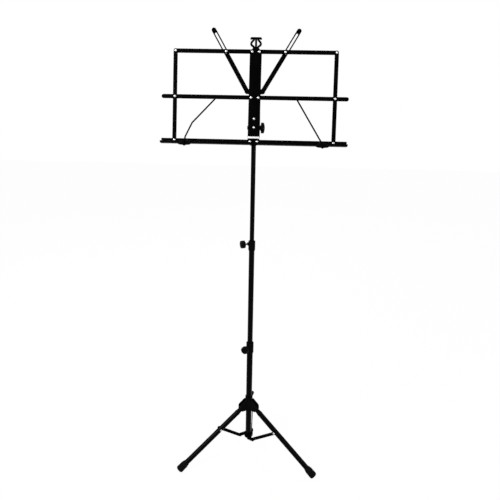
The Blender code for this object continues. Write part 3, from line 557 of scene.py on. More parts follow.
def knob(node, body, joint):
    """A clamp knob: a boxy scalloped grip, a low dome with a screw end, and a neck behind.

    Radius = profile radius less a rounded flute, deepest at the grip.
    """
    at, axis = clamp_line(joint)
    low, high = span(node, axis, at)
    first, second = side_axes(axis)
    radius = max(abs(span(node, first, at)[0]), span(node, second, at)[1])
    neck, neck_end = min(5.0 * MM, 0.6 * radius), low + 2.0 * MM
    bore, bore_end, soft = 2.5 * MM, low + 9 * MM, 0.5 * MM
    back, shoulder = 0.9 * MM, 1.2 * MM
    profile = [(0, bore_end), (bore, bore_end), (bore, low + 0.3 * MM), (bore + 0.3 * MM, low)]
    profile += arc((neck - soft, low + soft), soft, -90, 0, 4)
    profile += [(neck, neck_end - soft), (neck + 0.3 * MM, neck_end)]
    profile += arc((radius - back, neck_end + back), back, -90, 0, 6)
    profile += arc((radius - shoulder, high - 2.4 * MM), shoulder, 0, 70, 6)
    top_r, top_h = profile[-1]
    button, button_top = 2.1 * MM, high + 1.3 * MM
    dome_x = np.linspace(1, button / top_r, 9)[1:]
    profile += [(top_r * x, top_h + (high - top_h) * (1 - x * x)) for x in dome_x]
    profile += [(button, button_top - soft), (button - soft, button_top), (0, button_top)]

    def scalloped(angle, r, h):
        """Cut the flutes into the grip, fading toward the middle of its face."""
        depth = 0.1 * radius * np.clip((r / radius - 0.62) / 0.3, 0, 1)
        on_grip = h > neck_end - 0.1 * MM
        return r - on_grip * depth * flutes(angle)

    grip = turned(node + "_grip", profile, at, axis, 144, shape=scalloped)
    fit(grip, body, "black_plastic", KNOB_PLASTIC, node)


def plug():
    """The cap in the tube's foot: a rounded rim outside and a narrower spigot inside."""
    low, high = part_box("tube_plug")
    radius = half_width("tube_plug")
    soft, lip, spigot = 1.2 * MM, 2.2 * MM, radius - 1.25 * MM
    profile = [(0, low.z)] + arc((radius - soft, low.z + soft), soft, -90, 0, 5)
    profile += [(radius, low.z + lip), (spigot, low.z + lip), (spigot, high.z - 0.5 * MM),
                (spigot - 0.5 * MM, high.z), (0, high.z)]
    fit(turned("plug_cap", profile, POST, UP, 56), "post", "black_plastic", PLASTIC, "tube_plug")


def post():
    """Tubes, collars, clamps and end plug."""
    tube("lower_tube", "post", wall=0.95 * MM)
    tube("middle_tube", "middle_section", wall=1.2 * MM)
    tube("upper_rod", "upper_section", wall=1.2 * MM)
    collar("lower_collar", "post", "lower_clamp_turn")
    collar("middle_collar", "middle_section", "middle_clamp_turn")
    for place in ("lower", "middle", "hub"):
        body = place + "_clamp"
        screw(body + "_screw", body, body + "_turn")
        knob(body + "_knob", body, body + "_turn")
    plug()


def tilt_block():
    """The block on the upper tube: a socketed stem and a bored barrel across it.

    Both are turned profiles, one about the post and one about the tilt axis.
    """
    low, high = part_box("tilt_block")
    axis_z = TILT_AT[2]
    barrel_r = high.z - axis_z
    stem_r, soft = barrel_r - 0.6 * MM, 0.8 * MM
    bore = half_width("upper_rod") + GAP
    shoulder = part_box("upper_rod")[1].z + GAP
    core, core_z = 2 * MM, axis_z - 2 * MM
    profile = [(bore, low.z + CHAMFER), (bore + CHAMFER, low.z)]
    profile += arc((stem_r - soft, low.z + soft), soft, -90, 0, 5)
    for band in (6.0 * MM, 8.5 * MM):
        profile += groove(stem_r, low.z + band, depth=0.4 * MM, mouth=0.6 * MM, floor=0.2 * MM)
    profile += [(stem_r, core_z), (core, core_z), (core, shoulder), (bore, shoulder)]
    stem = turned("tilt_block_stem", profile, POST, UP, 56, closed=True)
    fit(stem, "upper_section", "black_plastic", PLASTIC, "tilt_block")
    half, hole, mouth = half_width("tilt_block"), 2.8 * MM, 0.3 * MM
    profile = [(hole, -half + mouth), (hole + mouth, -half)]
    profile += rounded_rim(barrel_r, -half, half, 1.0 * MM, 5)
    profile += [(hole + mouth, half), (hole, half - mouth)]
    barrel = turned("tilt_block_barrel", profile, TILT_AT, AXIS_U, 56, closed=True)
    fit(barrel, "upper_section", "black_plastic", PLASTIC)


# ------------ tripod

LEG_AZIMUTHS = (210.0, 330.0, 90.0)
HUB_PIVOT = np.array(JOINT["leg_1_pivot"]["pos_m"], float) - POST
RIVET_AT = np.array(JOINT["leg_1_rivet"]["pos_m"], float) - POST
BRACKET_PIVOT = np.array(JOINT["tripod_fold"]["pos_m"], float) - POST
PIVOT_R = float(np.hypot(*HUB_PIVOT[:2]))
ARM_SPAN = float(np.linalg.norm(RIVET_AT - HUB_PIVOT))
SLOPE = math.asin((HUB_PIVOT[2] - RIVET_AT[2]) / ARM_SPAN)
LEG_RADIUS = 8.0 * MM
PIN_RADIUS = 2.0 * MM
STRUT_HALF = 5.0 * MM
STRUT_NEAR = -LEG_RADIUS - 0.6 * MM          # the strut's near face, clockwise of its leg
STRUT_FAR = STRUT_NEAR - 2.5 * MM


def around(azimuth):
    """Outward and counterclockwise directions at an azimuth."""
    a = math.radians(azimuth)
    return np.array([math.cos(a), math.sin(a), 0.0]), np.array([-math.sin(a), math.cos(a), 0.0])


def upright(azimuth):
    """Place (radius, height, t) of a leg's upright plane in the object's frame."""
    out, turn = around(azimuth)
    return lambda a, b, h: POST + a[..., None] * out + b[..., None] * UP + h[..., None] * turn


def on_ring(azimuth, z):
    """The pivot at an azimuth and a height."""
    return POST + PIVOT_R * around(azimuth)[0] + z * UP


def pin(name, at, axis, low, high, body, slot, mat):
    """A cross pin: a shank between two domed heads, turned about its axis.

    A head's radius is R cos x at height H sin x over its seat.
    """
    head, rise = PIN_RADIUS + 1.6 * MM, 1.2 * MM
    sunk, neck = 0.15 * MM, 0.3 * MM
    x = np.linspace(0, math.pi / 2, 8)
    r, h = head * np.cos(x), (rise - sunk) * np.sin(x)
    profile = [*zip(r[::-1], (low + sunk - h)[::-1]), (head, low + neck), (PIN_RADIUS, low + neck),
               (PIN_RADIUS, high - neck), (head, high - neck), *zip(r, high - sunk + h)]
    fit(turned(name, profile, at, axis, 36), body, slot, mat)


def hub():
    """The sliding hub: a sleeve, three pairs of webbed cheeks with pins, and the screw's boss."""
    low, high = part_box("tripod_hub")
    bore, z = half_width("lower_tube") + GAP, HUB_PIVOT[2]
    neck, skirt, soft = 11.6 * MM, 13.6 * MM, 0.8 * MM
    profile = [(bore, low.z + CHAMFER), (bore + CHAMFER, low.z)]
    profile += arc((skirt - soft, low.z + soft), soft, -90, 0, 5)
    x = np.linspace(0, 1, 9)
    profile += zip(skirt + (neck - skirt) * eased(x), z + 14 * MM + 12 * MM * x)
    profile += arc((neck - soft, high.z - soft), soft, 0, 90, 5)
    profile += [(bore + CHAMFER, high.z), (bore, high.z - CHAMFER)]
    sleeve = turned("hub_sleeve", profile, POST, UP, 72, closed=True)
    fit(sleeve, "hub", "black_plastic", PLASTIC, "tripod_hub")
    inner, thick, round_r, root = 4.3 * MM, 4.0 * MM, 9.5 * MM, 10.4 * MM
    half, tip, top = inner + thick, PIVOT_R + round_r, z + 28 * MM
    corners = [(root, z - round_r), (root, top), (12.6 * MM, top), (tip - 13 * MM, z + 22 * MM),
               (tip - 3 * MM, z + 14 * MM), (tip - 0.6 * MM, z + 11 * MM)]
    outline = dense(corners + arc((PIVOT_R, z), round_r, 0, -90, 12), 1.6 * MM)
    for index, azimuth in enumerate(LEG_AZIMUTHS, 1):
        for label, a, b in (("near", -half, -inner), ("far", inner, half)):
            name = "hub_cheek_%d_%s" % (index, label)
            cheek = plate(name, outline, a, b, upright(azimuth), 0.7 * MM)
            fit(cheek, "hub", "black_plastic", PLASTIC)
        pin("hub_pin_%d" % index, on_ring(azimuth, z), around(azimuth)[1], -half, half,
            "hub", "black_steel", DESK_COAT)
    boss("hub_boss", "hub", "hub_clamp_turn", bore + 0.8 * MM, neck + 5.0 * MM, 6.0 * MM, 0.8 * MM,
         2.7 * MM)


def bracket():
    """The ring at the tube's foot with a lug and a pin for each strut."""
    bore = half_width("lower_tube") + GAP
    outer, mouth = 12.8 * MM, 0.3 * MM
    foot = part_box("lower_tube")[0].z - 2 * MM
    top = foot + 14 * MM
    profile = [(bore, foot + mouth), (bore + mouth, foot)]
    profile += rounded_rim(outer, foot, top, 1.0 * MM, 6)
    profile += [(bore + mouth, top), (bore, top - mouth)]
    ring = turned("bracket_ring", profile, POST, UP, 64, closed=True)
    fit(ring, "post", "black_steel", DESK_COAT, "bottom_bracket")
    z, lug_r, root = BRACKET_PIVOT[2], 6.0 * MM, 4 * MM
    near = STRUT_FAR - GAP
    far = near - 3.0 * MM
    corners = [(root, z - lug_r), *arc((PIVOT_R, z), lug_r, -90, 90, 14), (root, z + lug_r)]
    outline = dense(corners, 1.5 * MM)
    for index, azimuth in enumerate(LEG_AZIMUTHS, 1):
        lug = plate("bracket_lug_%d" % index, outline, far, near, upright(azimuth), 0.5 * MM)
        fit(lug, "post", "black_steel", DESK_COAT)
        pin("bracket_pin_%d" % index, on_ring(azimuth, z), around(azimuth)[1], far,
            STRUT_NEAR + GAP, "post", "black_steel", DESK_COAT)


def leg(index, azimuth):
    """A leg: a tube whose upper end is pressed flat into a tongue round its pivot.

    At a distance s from the pivot the section is |y/b|^n + |z/a|^n = 1, where the
    half height a, half thickness b and power n ease from the tongue to the tube.
    """
    out, turn = around(azimuth)
    along = math.cos(SLOPE) * out - math.sin(SLOPE) * UP
    across = math.sin(SLOPE) * out + math.cos(SLOPE) * UP
    at = on_ring(azimuth, HUB_PIVOT[2])
    body = "leg_%d" % index
    foot_low, foot_high = span("foot_%d" % index, along, at)
    end = foot_high - 4.1 * MM
    tongue, thick, flat_end, round_from = 7.0 * MM, 4.0 * MM, 11 * MM, 27 * MM
    s = np.concatenate([-tongue * np.cos(np.linspace(0.04, math.pi / 2, 10)),
                        np.linspace(1 * MM, 10 * MM, 4), np.linspace(flat_end, round_from, 13),
                        np.linspace(40 * MM, end, 24)])
    ease = eased(np.clip((s - flat_end) / (round_from - flat_end), 0, 1))
    tip = np.sqrt(np.clip(tongue ** 2 - np.minimum(s, 0) ** 2, 1e-9, None))
    a = tip + (LEG_RADIUS - tongue) * ease
    b = thick + (LEG_RADIUS - thick) * ease
    power = 2 / (6 - 4 * ease)
    t = np.linspace(0, 2 * math.pi, 48, endpoint=False)
    y = b[:, None] * np.sign(np.cos(t)) * np.abs(np.cos(t)) ** power[:, None]
    z = a[:, None] * np.sign(np.sin(t)) * np.abs(np.sin(t)) ** power[:, None]
    grid = at + s[:, None, None] * along + y[..., None] * turn + z[..., None] * across
    skin = surface("leg_tube_%d" % index, grid, caps=True, angle=40)
    fit(skin, body, "black_steel", TUBE_COAT, body)
    pin("leg_rivet_%d" % index, at + ARM_SPAN * along, turn, STRUT_FAR - GAP,
        LEG_RADIUS - 0.4 * MM, body, "nickel", NICKEL)
    foot(index, body, at, along, foot_low, foot_high)


def foot(index, body, at, along, low, high):
    """A rubber foot: a flared cup with three ribs and a rounded end, turned about the leg."""
    inner, outer, round_r = LEG_RADIUS + 0.25 * MM, 11.5 * MM, 6.0 * MM
    mouth, floor = inner + 0.9 * MM, high - 3.2 * MM
    profile = [(0, floor), (inner, floor), (inner, low + CHAMFER), (inner + CHAMFER, low)]
    x = np.linspace(0, 1, 9)
    flare = mouth + (outer - 0.3 * MM - mouth) * eased(x)
    profile += zip(flare, low + 0.5 * MM + 11 * MM * x)
    for rib in range(3):
        h = low + (14.0 + 3.6 * rib) * MM
        profile += [(outer - 0.2 * MM, h - 1.0 * MM), (outer - 0.8 * MM, h - 0.5 * MM),
                    (outer - 0.8 * MM, h + 0.1 * MM), (outer - 0.1 * MM, h + 0.6 * MM)]
    profile += arc((outer - round_r, high - round_r), round_r, 0, 90, 12) + [(0, high)]
    cup = turned("foot_cup_%d" % index, profile, at, along, 60)
    fit(cup, body, "black_rubber", RUBBER, "foot_%d" % index)


def strut(index, azimuth):
    """A flat strut with round ends between the bracket's pin and the leg's rivet."""
    out, turn = around(azimuth)
    along = math.cos(SLOPE) * out + math.sin(SLOPE) * UP
    across = -math.sin(SLOPE) * out + math.cos(SLOPE) * UP
    base = on_ring(azimuth, BRACKET_PIVOT[2])
    node = "strut_%d" % index

    def place(a, b, h):
        """Put (along, across, t) in the object's frame."""
        return base + a[..., None] * along + b[..., None] * across + h[..., None] * turn

    bar = strap("strut_bar_%d" % index, (0, 0), (ARM_SPAN, 0), STRUT_HALF, STRUT_FAR, STRUT_NEAR,
                place, 0.6 * MM)
    fit(bar, node, "black_steel", DESK_COAT, node)


def tripod():
    """Hub, foot bracket, legs, feet and struts."""
    hub()
    bracket()
    for index, azimuth in enumerate(LEG_AZIMUTHS, 1):
        leg(index, azimuth)
        strut(index, azimuth)


# ------------ desk: spine

SPINE_HALF = half_width("ledge_plate")
RIVET_RADIUS = 3.0 * MM
RIVET_BACK = 3.2 * MM          # radius of a closing head


def dome(name, u, v, low, high, back_r, body, slot, mat, *nodes):
    """A rivet through the desk: flat closing head behind, domed head toward the player.

    The dome's radius is R cos x at height H sin x over its seat, with a small flat rim.
    """
    seat, shank, back, rim = high - 1.4 * MM, 1.7 * MM, low + 0.8 * MM, 0.25 * MM
    profile = [(0, low), (back_r * 0.55, low), (back_r * 0.9, low + 0.25 * MM),
               (back_r, low + 0.6 * MM), (back_r, back), (shank, back), (shank, seat),
               (RIVET_RADIUS - 0.2 * MM, seat)]
    x = np.linspace(0, math.pi / 2, 12)
    profile += zip(RIVET_RADIUS * np.cos(x), seat + rim + (high - seat - rim) * np.sin(x))
    fit(turned(name, profile, desk(u, v), AXIS_W, 36), body, slot, mat, *nodes)


def rivet(node, body, back_r=RIVET_BACK):
    """A rivet in place of its node."""
    dome(node + "_head", *centre(node), *layer(node), back_r, body, "nickel", NICKEL, node)


def channel(name, half, front, v, depth):
    """A bent sheet channel along v, open at the back.

    The section runs round both flanges and the face at once: outside with bend
    radius R, back along the inside with a tighter bend.  At height v the flanges
    reach the depth d(v) behind the face's front.
    """
    loose, tight = 1.7 * MM, 0.5 * MM
    u_in, w_in = half - SHEET, front - SHEET
    x = np.radians(np.linspace(0, 90, 6))
    bend = np.stack([np.sin(x) - 1, np.cos(x) - 1], 1)
    right_out = [half, front] + loose * bend
    right_in = [u_in, w_in] + tight * bend
    mirror = np.array([-1.0, 1.0])
    section = np.concatenate([right_out, [[half, np.nan], [u_in, np.nan]], right_in[::-1],
                              right_in * mirror, [[-u_in, np.nan], [-half, np.nan]],
                              right_out[::-1] * mirror])
    v, depth = np.array(v, float)[:, None], np.array(depth, float)[:, None]
    u, w = section.T
    w = np.where(np.isnan(w), front - depth, w)
    w = np.maximum(w, np.minimum(front - depth, w_in))
    return surface(name, desk(np.repeat(u[None], len(v), 0), v, w), caps=True, angle=40)


def spine():
    """The spine channel, its shoulder and the lyre on top."""
    start = span("spine", AXIS_V, DESK_AT)[0]
    deep, shallow, lead = 24.2 * MM, 3.7 * MM, 0.4 * MM
    x = np.linspace(0, 1, 12)
    top = np.array([60.0, 120.0, 192.0, 194.0, 195.0]) * MM
    v = np.concatenate([[start, start + lead, 10 * MM], 23 * MM + 24 * MM * x, top])
    depth = np.concatenate([[deep - lead, deep, deep], deep + (shallow - deep) * eased(x),
                            [shallow, shallow, shallow, 2.4 * MM, SHEET]])
    body = channel("spine_channel", SPINE_HALF, SHEET, v, depth)
    fit(body, "desk", "black_steel", DESK_COAT, "spine")
    foot, waist, rise, neck = 193 * MM, 197 * MM, 9 * MM, 7.8 * MM
    t = np.linspace(0, math.pi / 2, 12)
    right = np.stack([SPINE_HALF - (SPINE_HALF - neck) * np.sin(t),
                      waist + rise * (1 - np.cos(t))], 1)
    outline = np.concatenate([[[SPINE_HALF, foot]], right, right[::-1] * [-1, 1],
                              [[-SPINE_HALF, foot]]])
    shoulder = plate("spine_shoulder", dense(outline, 1.5 * MM), 0, SHEET, desk)
    fit(shoulder, "desk", "black_steel", DESK_COAT)
    lyre()


def lyre():
    """Two bowed strips, a bar with turned-down ends and a stem, cut from one sheet.

    Each strip is a rectangle with soft corners carried along a smooth centre line.
    """
    half, reach, drop, foot = 2.8 * MM, 12.4 * MM, 3.6 * MM, 204 * MM
    bar_v = span("spine", AXIS_V, DESK_AT)[1] - half
    section = strip_section(half, 0, SHEET, 0.3 * MM)
    bowed = np.array([(5.6, 204.0), (6.6, 206.6), (9.8, 208.6), (12.1, 211.3), (12.5, 214.0),
                      (11.0, 217.6), (8.2, 220.8), (6.0, 223.6), (5.6, 228.0)]) * MM
    lines = [("lyre_arm_left", smooth(bowed * [-1, 1], 5)),
             ("lyre_arm_right", smooth(bowed, 5)),
             ("lyre_bar", soft_path([(-reach, bar_v - drop), (-reach, bar_v), (reach, bar_v),
                                     (reach, bar_v - drop)], 2.0 * MM, 9)),
             ("lyre_stem", np.array([(0, foot), (0, 215 * MM), (0, bar_v)]))]
    for name, line in lines:
        strip = carried(name, desk(line[:, 0], line[:, 1]), section, AXIS_W)
        fit(strip, "desk", "black_steel", DESK_COAT)


def inner_bracket():
    """The plated channel inside the spine, with the two screws that hold it."""
    low = span("inner_bracket", AXIS_V, DESK_AT)[0]
    v = [low, low + 5 * MM, low + 14 * MM, low + 16 * MM, 21.6 * MM, 22 * MM]
    depth = np.array([9.7, 13.6, 20.7, 21.0, 21.0, 20.6]) * MM
    inner = channel("inner_channel", SPINE_HALF - SHEET - GAP, -GAP, v, depth)
    fit(inner, "desk", "zinc", ZINC, "inner_bracket")
    for label, at in (("upper", 21.0 * MM), ("lower", -1.5 * MM)):
        dome("face_screw_" + label, 0, at, -2.0 * MM, 2.9 * MM, RIVET_BACK, "desk", "zinc", NICKEL)


def ledge_plate():
    """The plate over the spine's foot, with its lower corners cut off."""
    bottom, top = span("ledge_plate", AXIS_V, DESK_AT)
    foot, cut, shoulder = 7 * MM, 3 * MM, top - 12 * MM
    right = [(foot, bottom), (SPINE_HALF - cut, bottom + cut), (SPINE_HALF, shoulder),
             (SPINE_HALF, top)]
    left = [(-u, v) for u, v in right[::-1]]
    cover = plate("ledge_cover", dense(left + right, 1.5 * MM), 0, SHEET, desk, 0.4 * MM)
    fit(cover, "desk", "black_steel", DESK_COAT, "ledge_plate")


def arm_yoke():
    """The short bar that both slotted arms turn on, with its three rivets."""
    arm_u, arm_v = pivot("arm_pivot_right")
    arm_low, arm_high = layer("slotted_arm_right")
    low, high = arm_low - GAP - BAR, arm_low - GAP
    yoke = strap("yoke_bar", (-arm_u, arm_v), (arm_u, arm_v), 6.5 * MM, low, high, desk)
    fit(yoke, "desk", "black_steel", DESK_COAT, "arm_yoke")
    for label, u, face in (("left", -arm_u, arm_high), ("right", arm_u, arm_high),
                           ("middle", 0.0, SHEET)):
        dome("yoke_rivet_" + label, u, arm_v, low - 0.8 * MM, face + GAP + 1.4 * MM, RIVET_BACK,
             "desk", "black_steel", DESK_COAT)


def tilt_bolt():
    """The bolt that the desk tilts on: a rounded head, a collar and a shank."""
    low, high = span("tilt_bolt", AXIS_U, DESK_AT)
    seat, shank, soft = low + 3.4 * MM, 2.5 * MM, 1.1 * MM
    profile = [(0, low + 1.5 * MM)] + arc((3.9 * MM, low + 2.6 * MM), soft, -90, 0, 7)
    profile += [(5.0 * MM, seat - 0.3 * MM), (4.7 * MM, seat), (shank, seat), (shank, high),
                (0, high)]
    bolt = turned("tilt_bolt_shank", profile, TILT_AT, AXIS_U, 40)
    fit(bolt, "desk", "nickel", WIRE_COAT, "tilt_bolt")


def tilt_knob():
    """The large tilt knob: a round boss, a shallow-lobed disc and a low dome.

    Radius = profile radius less a shallow flute on the disc's rim.
    """
    low, high = span("tilt_knob", AXIS_U, TILT_AT)
    radius, neck, start = 14.0 * MM, 6.7 * MM, low + 2.5 * MM
    bore, bore_end, soft = 2.8 * MM, low + 8.8 * MM, 0.5 * MM
    back, shoulder = 1.2 * MM, 1.4 * MM
    profile = [(0, bore_end), (bore, bore_end), (bore, low + 0.3 * MM), (bore + 0.3 * MM, low)]
    profile += arc((neck - soft, low + soft), soft, -90, 0, 4)
    profile += [(neck, start - 0.6 * MM), (neck + soft, start)]
    profile += arc((radius - back, start + back), back, -90, 0, 6)
    profile += arc((radius - shoulder, high - 3.8 * MM), shoulder, 0, 72, 6)
    top_r, top_h = profile[-1]
    dome_x = np.linspace(1, 0, 12)[1:]
    profile += [(top_r * x, top_h + (high - top_h) * (1 - x * x)) for x in dome_x]

    def lobed(angle, r, h):
        """Cut shallow flutes into the rim only, at every height."""
        rim = np.clip((r / radius - 0.72) / 0.25, 0, 1)
        return r - 0.07 * radius * rim * flutes(angle)

    grip = turned("tilt_grip", profile, TILT_AT, AXIS_U, 160, shape=lobed)
    fit(grip, "tilt_clamp", "black_plastic", KNOB_PLASTIC, "tilt_knob")


def spine_fittings():
    """Inner bracket, ledge plate, arm yoke, rivets, tilt bolt and knob."""
    inner_bracket()
    ledge_plate()
    arm_yoke()
    for row in ("top", "middle", "ledge"):
        for label in ("left", "right"):
            rivet("pivot_rivet_%s_%s" % (row, label), "desk")
    tilt_bolt()
    tilt_knob()


# ------------ desk: wings

def flat_bar(row, label, a, b):
    """A desk bar as thick as its node, with round ends centred on a and b."""
    node = "%s_bar_%s" % (row, label)
    bar = strap("%s_rail_%s" % (row, label), a, b, BAR_HALF, *layer(node), desk)
    fit(bar, node, "black_steel", DESK_COAT, node)


def ledge(label):
    """A ledge: a J-shaped rolled section carried along u, its ends slightly rounded over."""
    node = "ledge_" + label
    u0, u1 = span(node, AXIS_U, DESK_AT)
    v0, v1 = span(node, AXIS_V, DESK_AT)
    w0, w1 = layer(node)
    lip = v0 + 5.5 * MM
    corners = [(w0, v1), (w0, v0), (w1, v0), (w1, lip), (w1 - SHEET, lip), (w1 - SHEET, v0 + SHEET),
               (w0 + SHEET, v0 + SHEET), (w0 + SHEET, v1)]
    cuts = np.array([0.4, 1.8, 1.8, 0.55, 0.55, 0.9, 0.9, 0.4]) * MM
    loop = soft_loop(corners, cuts, 5)
    middle = loop.mean(0)
    end = 0.25 * MM
    u = np.array([u0, u0 + end, (u0 + u1) / 2, u1 - end, u1])
    tuck = np.array([0.985, 1, 1, 1, 0.985])
    w, v = np.moveaxis(middle + (loop - middle) * tuck[:, None, None], 2, 0)
    rail = surface(node + "_rail", desk(u[:, None], v, w), caps=True, angle=40)
    fit(rail, node, "black_steel", DESK_COAT, node)


def arm(label, side):
    """A slotted arm: a plain blade, then a blade with a long round-ended window for its pin."""
    node = "slotted_arm_" + label
    low, high = layer(node)
    base = np.array(pivot("arm_pivot_" + label))
    to_pin = centre("arm_pin_" + label) - base
    lean = math.atan2(abs(to_pin[0]), to_pin[1]) + math.radians(0.64)
    way = np.array([side * math.sin(lean), math.cos(lean)])
    window = np.linalg.norm(to_pin) - 1.5 * MM
    window_half, window_end, tip = 2.6 * MM, 170.0 * MM, 181.0 * MM
    lower = strap("arm_blade_" + label, base, base + way * (window - 8.0 * MM), ARM_HALF, low, high,
                  desk)
    fit(lower, node, "black_steel", DESK_COAT)
    hole = (base + way * window, base + way * window_end, window_half)
    upper = strap("slotted_blade_" + label, base + way * (window - 9.0 * MM), base + way * tip,
                  ARM_HALF, low, high, desk, hole=hole)
    fit(upper, node, "black_steel", DESK_COAT, node)


def clip(label):
    """A page clip: two drooping lobes with a small beak between them, and a soft rim.

    The outline is an ellipse whose upper half has a Gaussian waist and whose lower
    half has a Gaussian beak, lowered by a cosine of twice the angle.
    """
    node = "page_clip_" + label
    u, v = pivot("page_wire_turn_" + label)
    width, height, lift, droop = 34 * MM, 13.5 * MM, 0.8 * MM, 1.35 * MM
    waist_deep, waist_wide = 0.38, 0.14 * width
    beak_deep, beak_wide = 2.4 * MM, 2.6 * MM
    a = np.linspace(0, 2 * math.pi, 96, endpoint=False)
    x, z = width / 2 * np.cos(a), height / 2 * np.sin(a)
    waist = np.where(z > 0, 1 - waist_deep * np.exp(-(x / waist_wide) ** 2), 1.0)
    beak = np.where(z < 0, beak_deep * np.exp(-(x / beak_wide) ** 2), 0.0)
    outline = np.stack([u + x, v + lift + z * waist - beak - droop * np.cos(2 * a)], 1)
    moulding = plate(node + "_moulding", outline, *layer(node), desk, 1.3 * MM)
    fit(moulding, "ledge_" + label, "black_plastic", PLASTIC, node)


def wire(label, side, points, out):
    """A page wire: a circle carried along a bent path, its tip drawn in to a round end.

    The points are millimetres (inward, up) from its pivot, and out is its w past the clip.
    """
    node = "page_wire_" + label
    u, v = pivot("page_wire_turn_" + label)
    start = layer("page_clip_" + label)[0] + 1.0 * MM
    radius, hook, bend, tip_steps = 2.0 * MM, 12 * MM, 4.5 * MM, 6
    path = [desk(u, v, start), desk(u, v, out)]
    path += [desk(u - side * a * MM, v + b * MM, out) for a, b in points]
    path[-1] = path[-1] - hook * AXIS_W
    line = soft_path(path, bend, 12)
    tip_way = unit(line[-1] - line[-2])
    x = np.linspace(0, math.pi / 2, tip_steps)
    tip = line[-1] - tip_way * radius + radius * np.sin(x)[:, None] * tip_way
    size = radius * np.concatenate([np.ones(len(line) - 1), np.maximum(np.cos(x), 0.02)])
    line = np.concatenate([line[:-1], tip])
    heading = units(np.gradient(line, axis=0))
    first = units(np.cross(heading, unit((0.3, -0.2, 0.1))))
    second = np.cross(heading, first)
    t = np.linspace(0, 2 * math.pi, 16, endpoint=False)[:, None]
    ring = np.cos(t) * first[:, None] + np.sin(t) * second[:, None]
    rod = surface(node + "_rod", line[:, None] + size[:, None, None] * ring, caps=True)
    fit(rod, node, "black_steel", WIRE_COAT, node)


def wing(label, side, points, out):
    """One side of the desk: bars, ledge, side bar, slotted arm, clip, wire and rivets."""
    top_u, top_v = pivot("top_bar_pivot_" + label)
    middle_v = pivot("middle_bar_pivot_" + label)[1]
    side_u, ledge_v = pivot("side_bar_pivot_" + label)
    reach = span("middle_bar_" + label, AXIS_U, DESK_AT)[0 if side < 0 else 1]
    flat_bar("top", label, (top_u, top_v), (side_u, top_v))
    flat_bar("middle", label, (top_u, middle_v), (reach - side * BAR_HALF, middle_v))
    flat_bar("side", label, (side_u, ledge_v), (side_u, top_v))
    ledge(label)
    for row in ("ledge", "middle", "top"):
        rivet("side_rivet_%s_%s" % (row, label), "side_bar_" + label)
    arm(label, side)
    rivet("arm_pin_" + label, "top_bar_" + label, 3.4 * MM)
    clip(label)
    wire(label, side, points, out)


# ------------ camera and studio

def look(direction, roll=0.0):
    """The Euler turn that points an object's -Z along a direction, with a roll."""
    turn = Vector(direction).to_track_quat("-Z", "Y").to_matrix()
    return (turn @ Matrix.Rotation(roll, 3, "Z")).to_euler()


def show_white(tree, lit, white, share, output):
    """Show a share of white over what is lit, to camera and glossy rays only."""
    rays = tree.nodes.new("ShaderNodeLightPath")
    seen = tree.nodes.new("ShaderNodeMath")
    seen.operation = "MAXIMUM"
    part = tree.nodes.new("ShaderNodeMath")
    part.operation = "MULTIPLY"
    part.inputs[1].default_value = share
    mix = tree.nodes.new("ShaderNodeMixShader")
    for source, socket in ((rays.outputs["Is Camera Ray"], seen.inputs[0]),
                           (rays.outputs["Is Glossy Ray"], seen.inputs[1]),
                           (seen.outputs[0], part.inputs[0]), (part.outputs[0], mix.inputs[0]),
                           (lit.outputs[0], mix.inputs[1]), (white.outputs[0], mix.inputs[2]),
                           (mix.outputs[0], tree.nodes[output].inputs["Surface"])):
        tree.links.new(source, socket)


def white_floor():
    """A wide pale floor, which shows white and keeps a faint shadow of the object."""
    finish = Finish("floor_white")
    finish.set("Base Color", (0.9, 0.9, 0.9, 1))
    finish.set("Roughness", 0.9)
    glow = finish.node("ShaderNodeEmission", Color=(1, 1, 1, 1), Strength=1.0)
    show_white(finish.mat.node_tree, finish.shader, glow, 0.97, "Material Output")
    reach = 6.0
    corners = [(-reach, -reach, 0), (reach, -reach, 0), (reach, reach, 0), (-reach, reach, 0)]
    floor = mesh_from("floor", corners, [[0, 1, 2, 3]], smooth=False)
    floor.data.materials.append(finish.mat)
    return floor


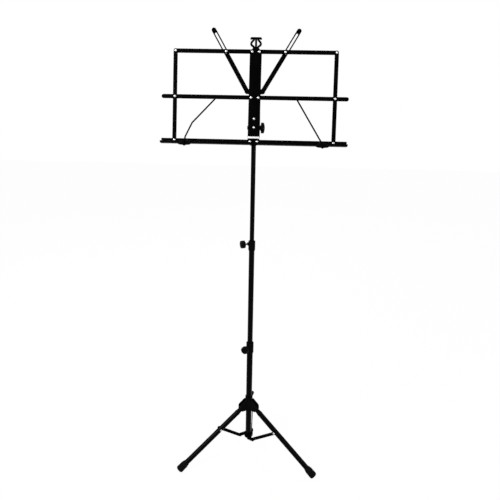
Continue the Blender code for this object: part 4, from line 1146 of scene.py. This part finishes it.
def white_world():
    """A dim even sky that shows white."""
    world = bpy.data.worlds.new("studio")
    bpy.context.scene.world = world
    world.use_nodes = True
    sky = world.node_tree.nodes["Background"]
    white = world.node_tree.nodes.new("ShaderNodeBackground")
    for light, strength in ((sky, 0.4), (white, 1.0)):
        light.inputs["Color"].default_value = (1, 1, 1, 1)
        light.inputs["Strength"].default_value = strength
    show_white(world.node_tree, sky, white, 1.0, "World Output")


def soft_lamp(name, place, size, power):
    """A square lamp, in metres and watts, aimed at the middle of the post."""
    lamp = bpy.data.lights.new(name, "AREA")
    lamp.size = size
    lamp.energy = power
    obj = bpy.data.objects.new(name, lamp)
    bpy.context.scene.collection.objects.link(obj)
    obj.location = place
    obj.rotation_euler = look(np.array([0, 0, 0.7]) - np.array(place))
    return obj


def studio():
    """Pale floor, white surroundings and soft light."""
    bpy.context.scene.view_settings.view_transform = "Standard"
    floor = white_floor()
    white_world()
    soft_lamp("key", (-1.5, -1.5, 2.3), 0.9, 52)
    soft_lamp("fill", (1.9, -1.2, 1.5), 1.4, 22)
    soft_lamp("rim", (-0.9, 1.9, 2.2), 0.9, 34)


def camera():
    """The camera above the height of the desk, looking a little down."""
    pitch, yaw, roll = math.radians(18.33), math.radians(-2.407), math.radians(0.996)
    level = math.cos(pitch)
    heading = (math.sin(yaw) * level, math.cos(yaw) * level, -math.sin(pitch))
    lens = bpy.data.cameras.new("camera")
    lens.sensor_width = 36.0
    lens.lens = 36.0
    obj = bpy.data.objects.new("camera", lens)
    bpy.context.scene.collection.objects.link(obj)
    obj.location = POST + np.array([52.6, -1367.8, 1146.6]) * MM
    obj.rotation_euler = look(heading, roll)
    bpy.context.scene.camera = obj


post()
tilt_block()
tripod()
spine()
spine_fittings()
clip_front = layer("page_clip_left")[1]
wing("left", -1, ((3.4, 16.5), (20.8, 52.0), (79.4, 118.0)), clip_front + 3.1 * MM)
wing("right", 1, ((7.0, 12.0), (66.0, 107.0), (73.0, 122.0)), clip_front + 8.1 * MM)
camera()
studio()
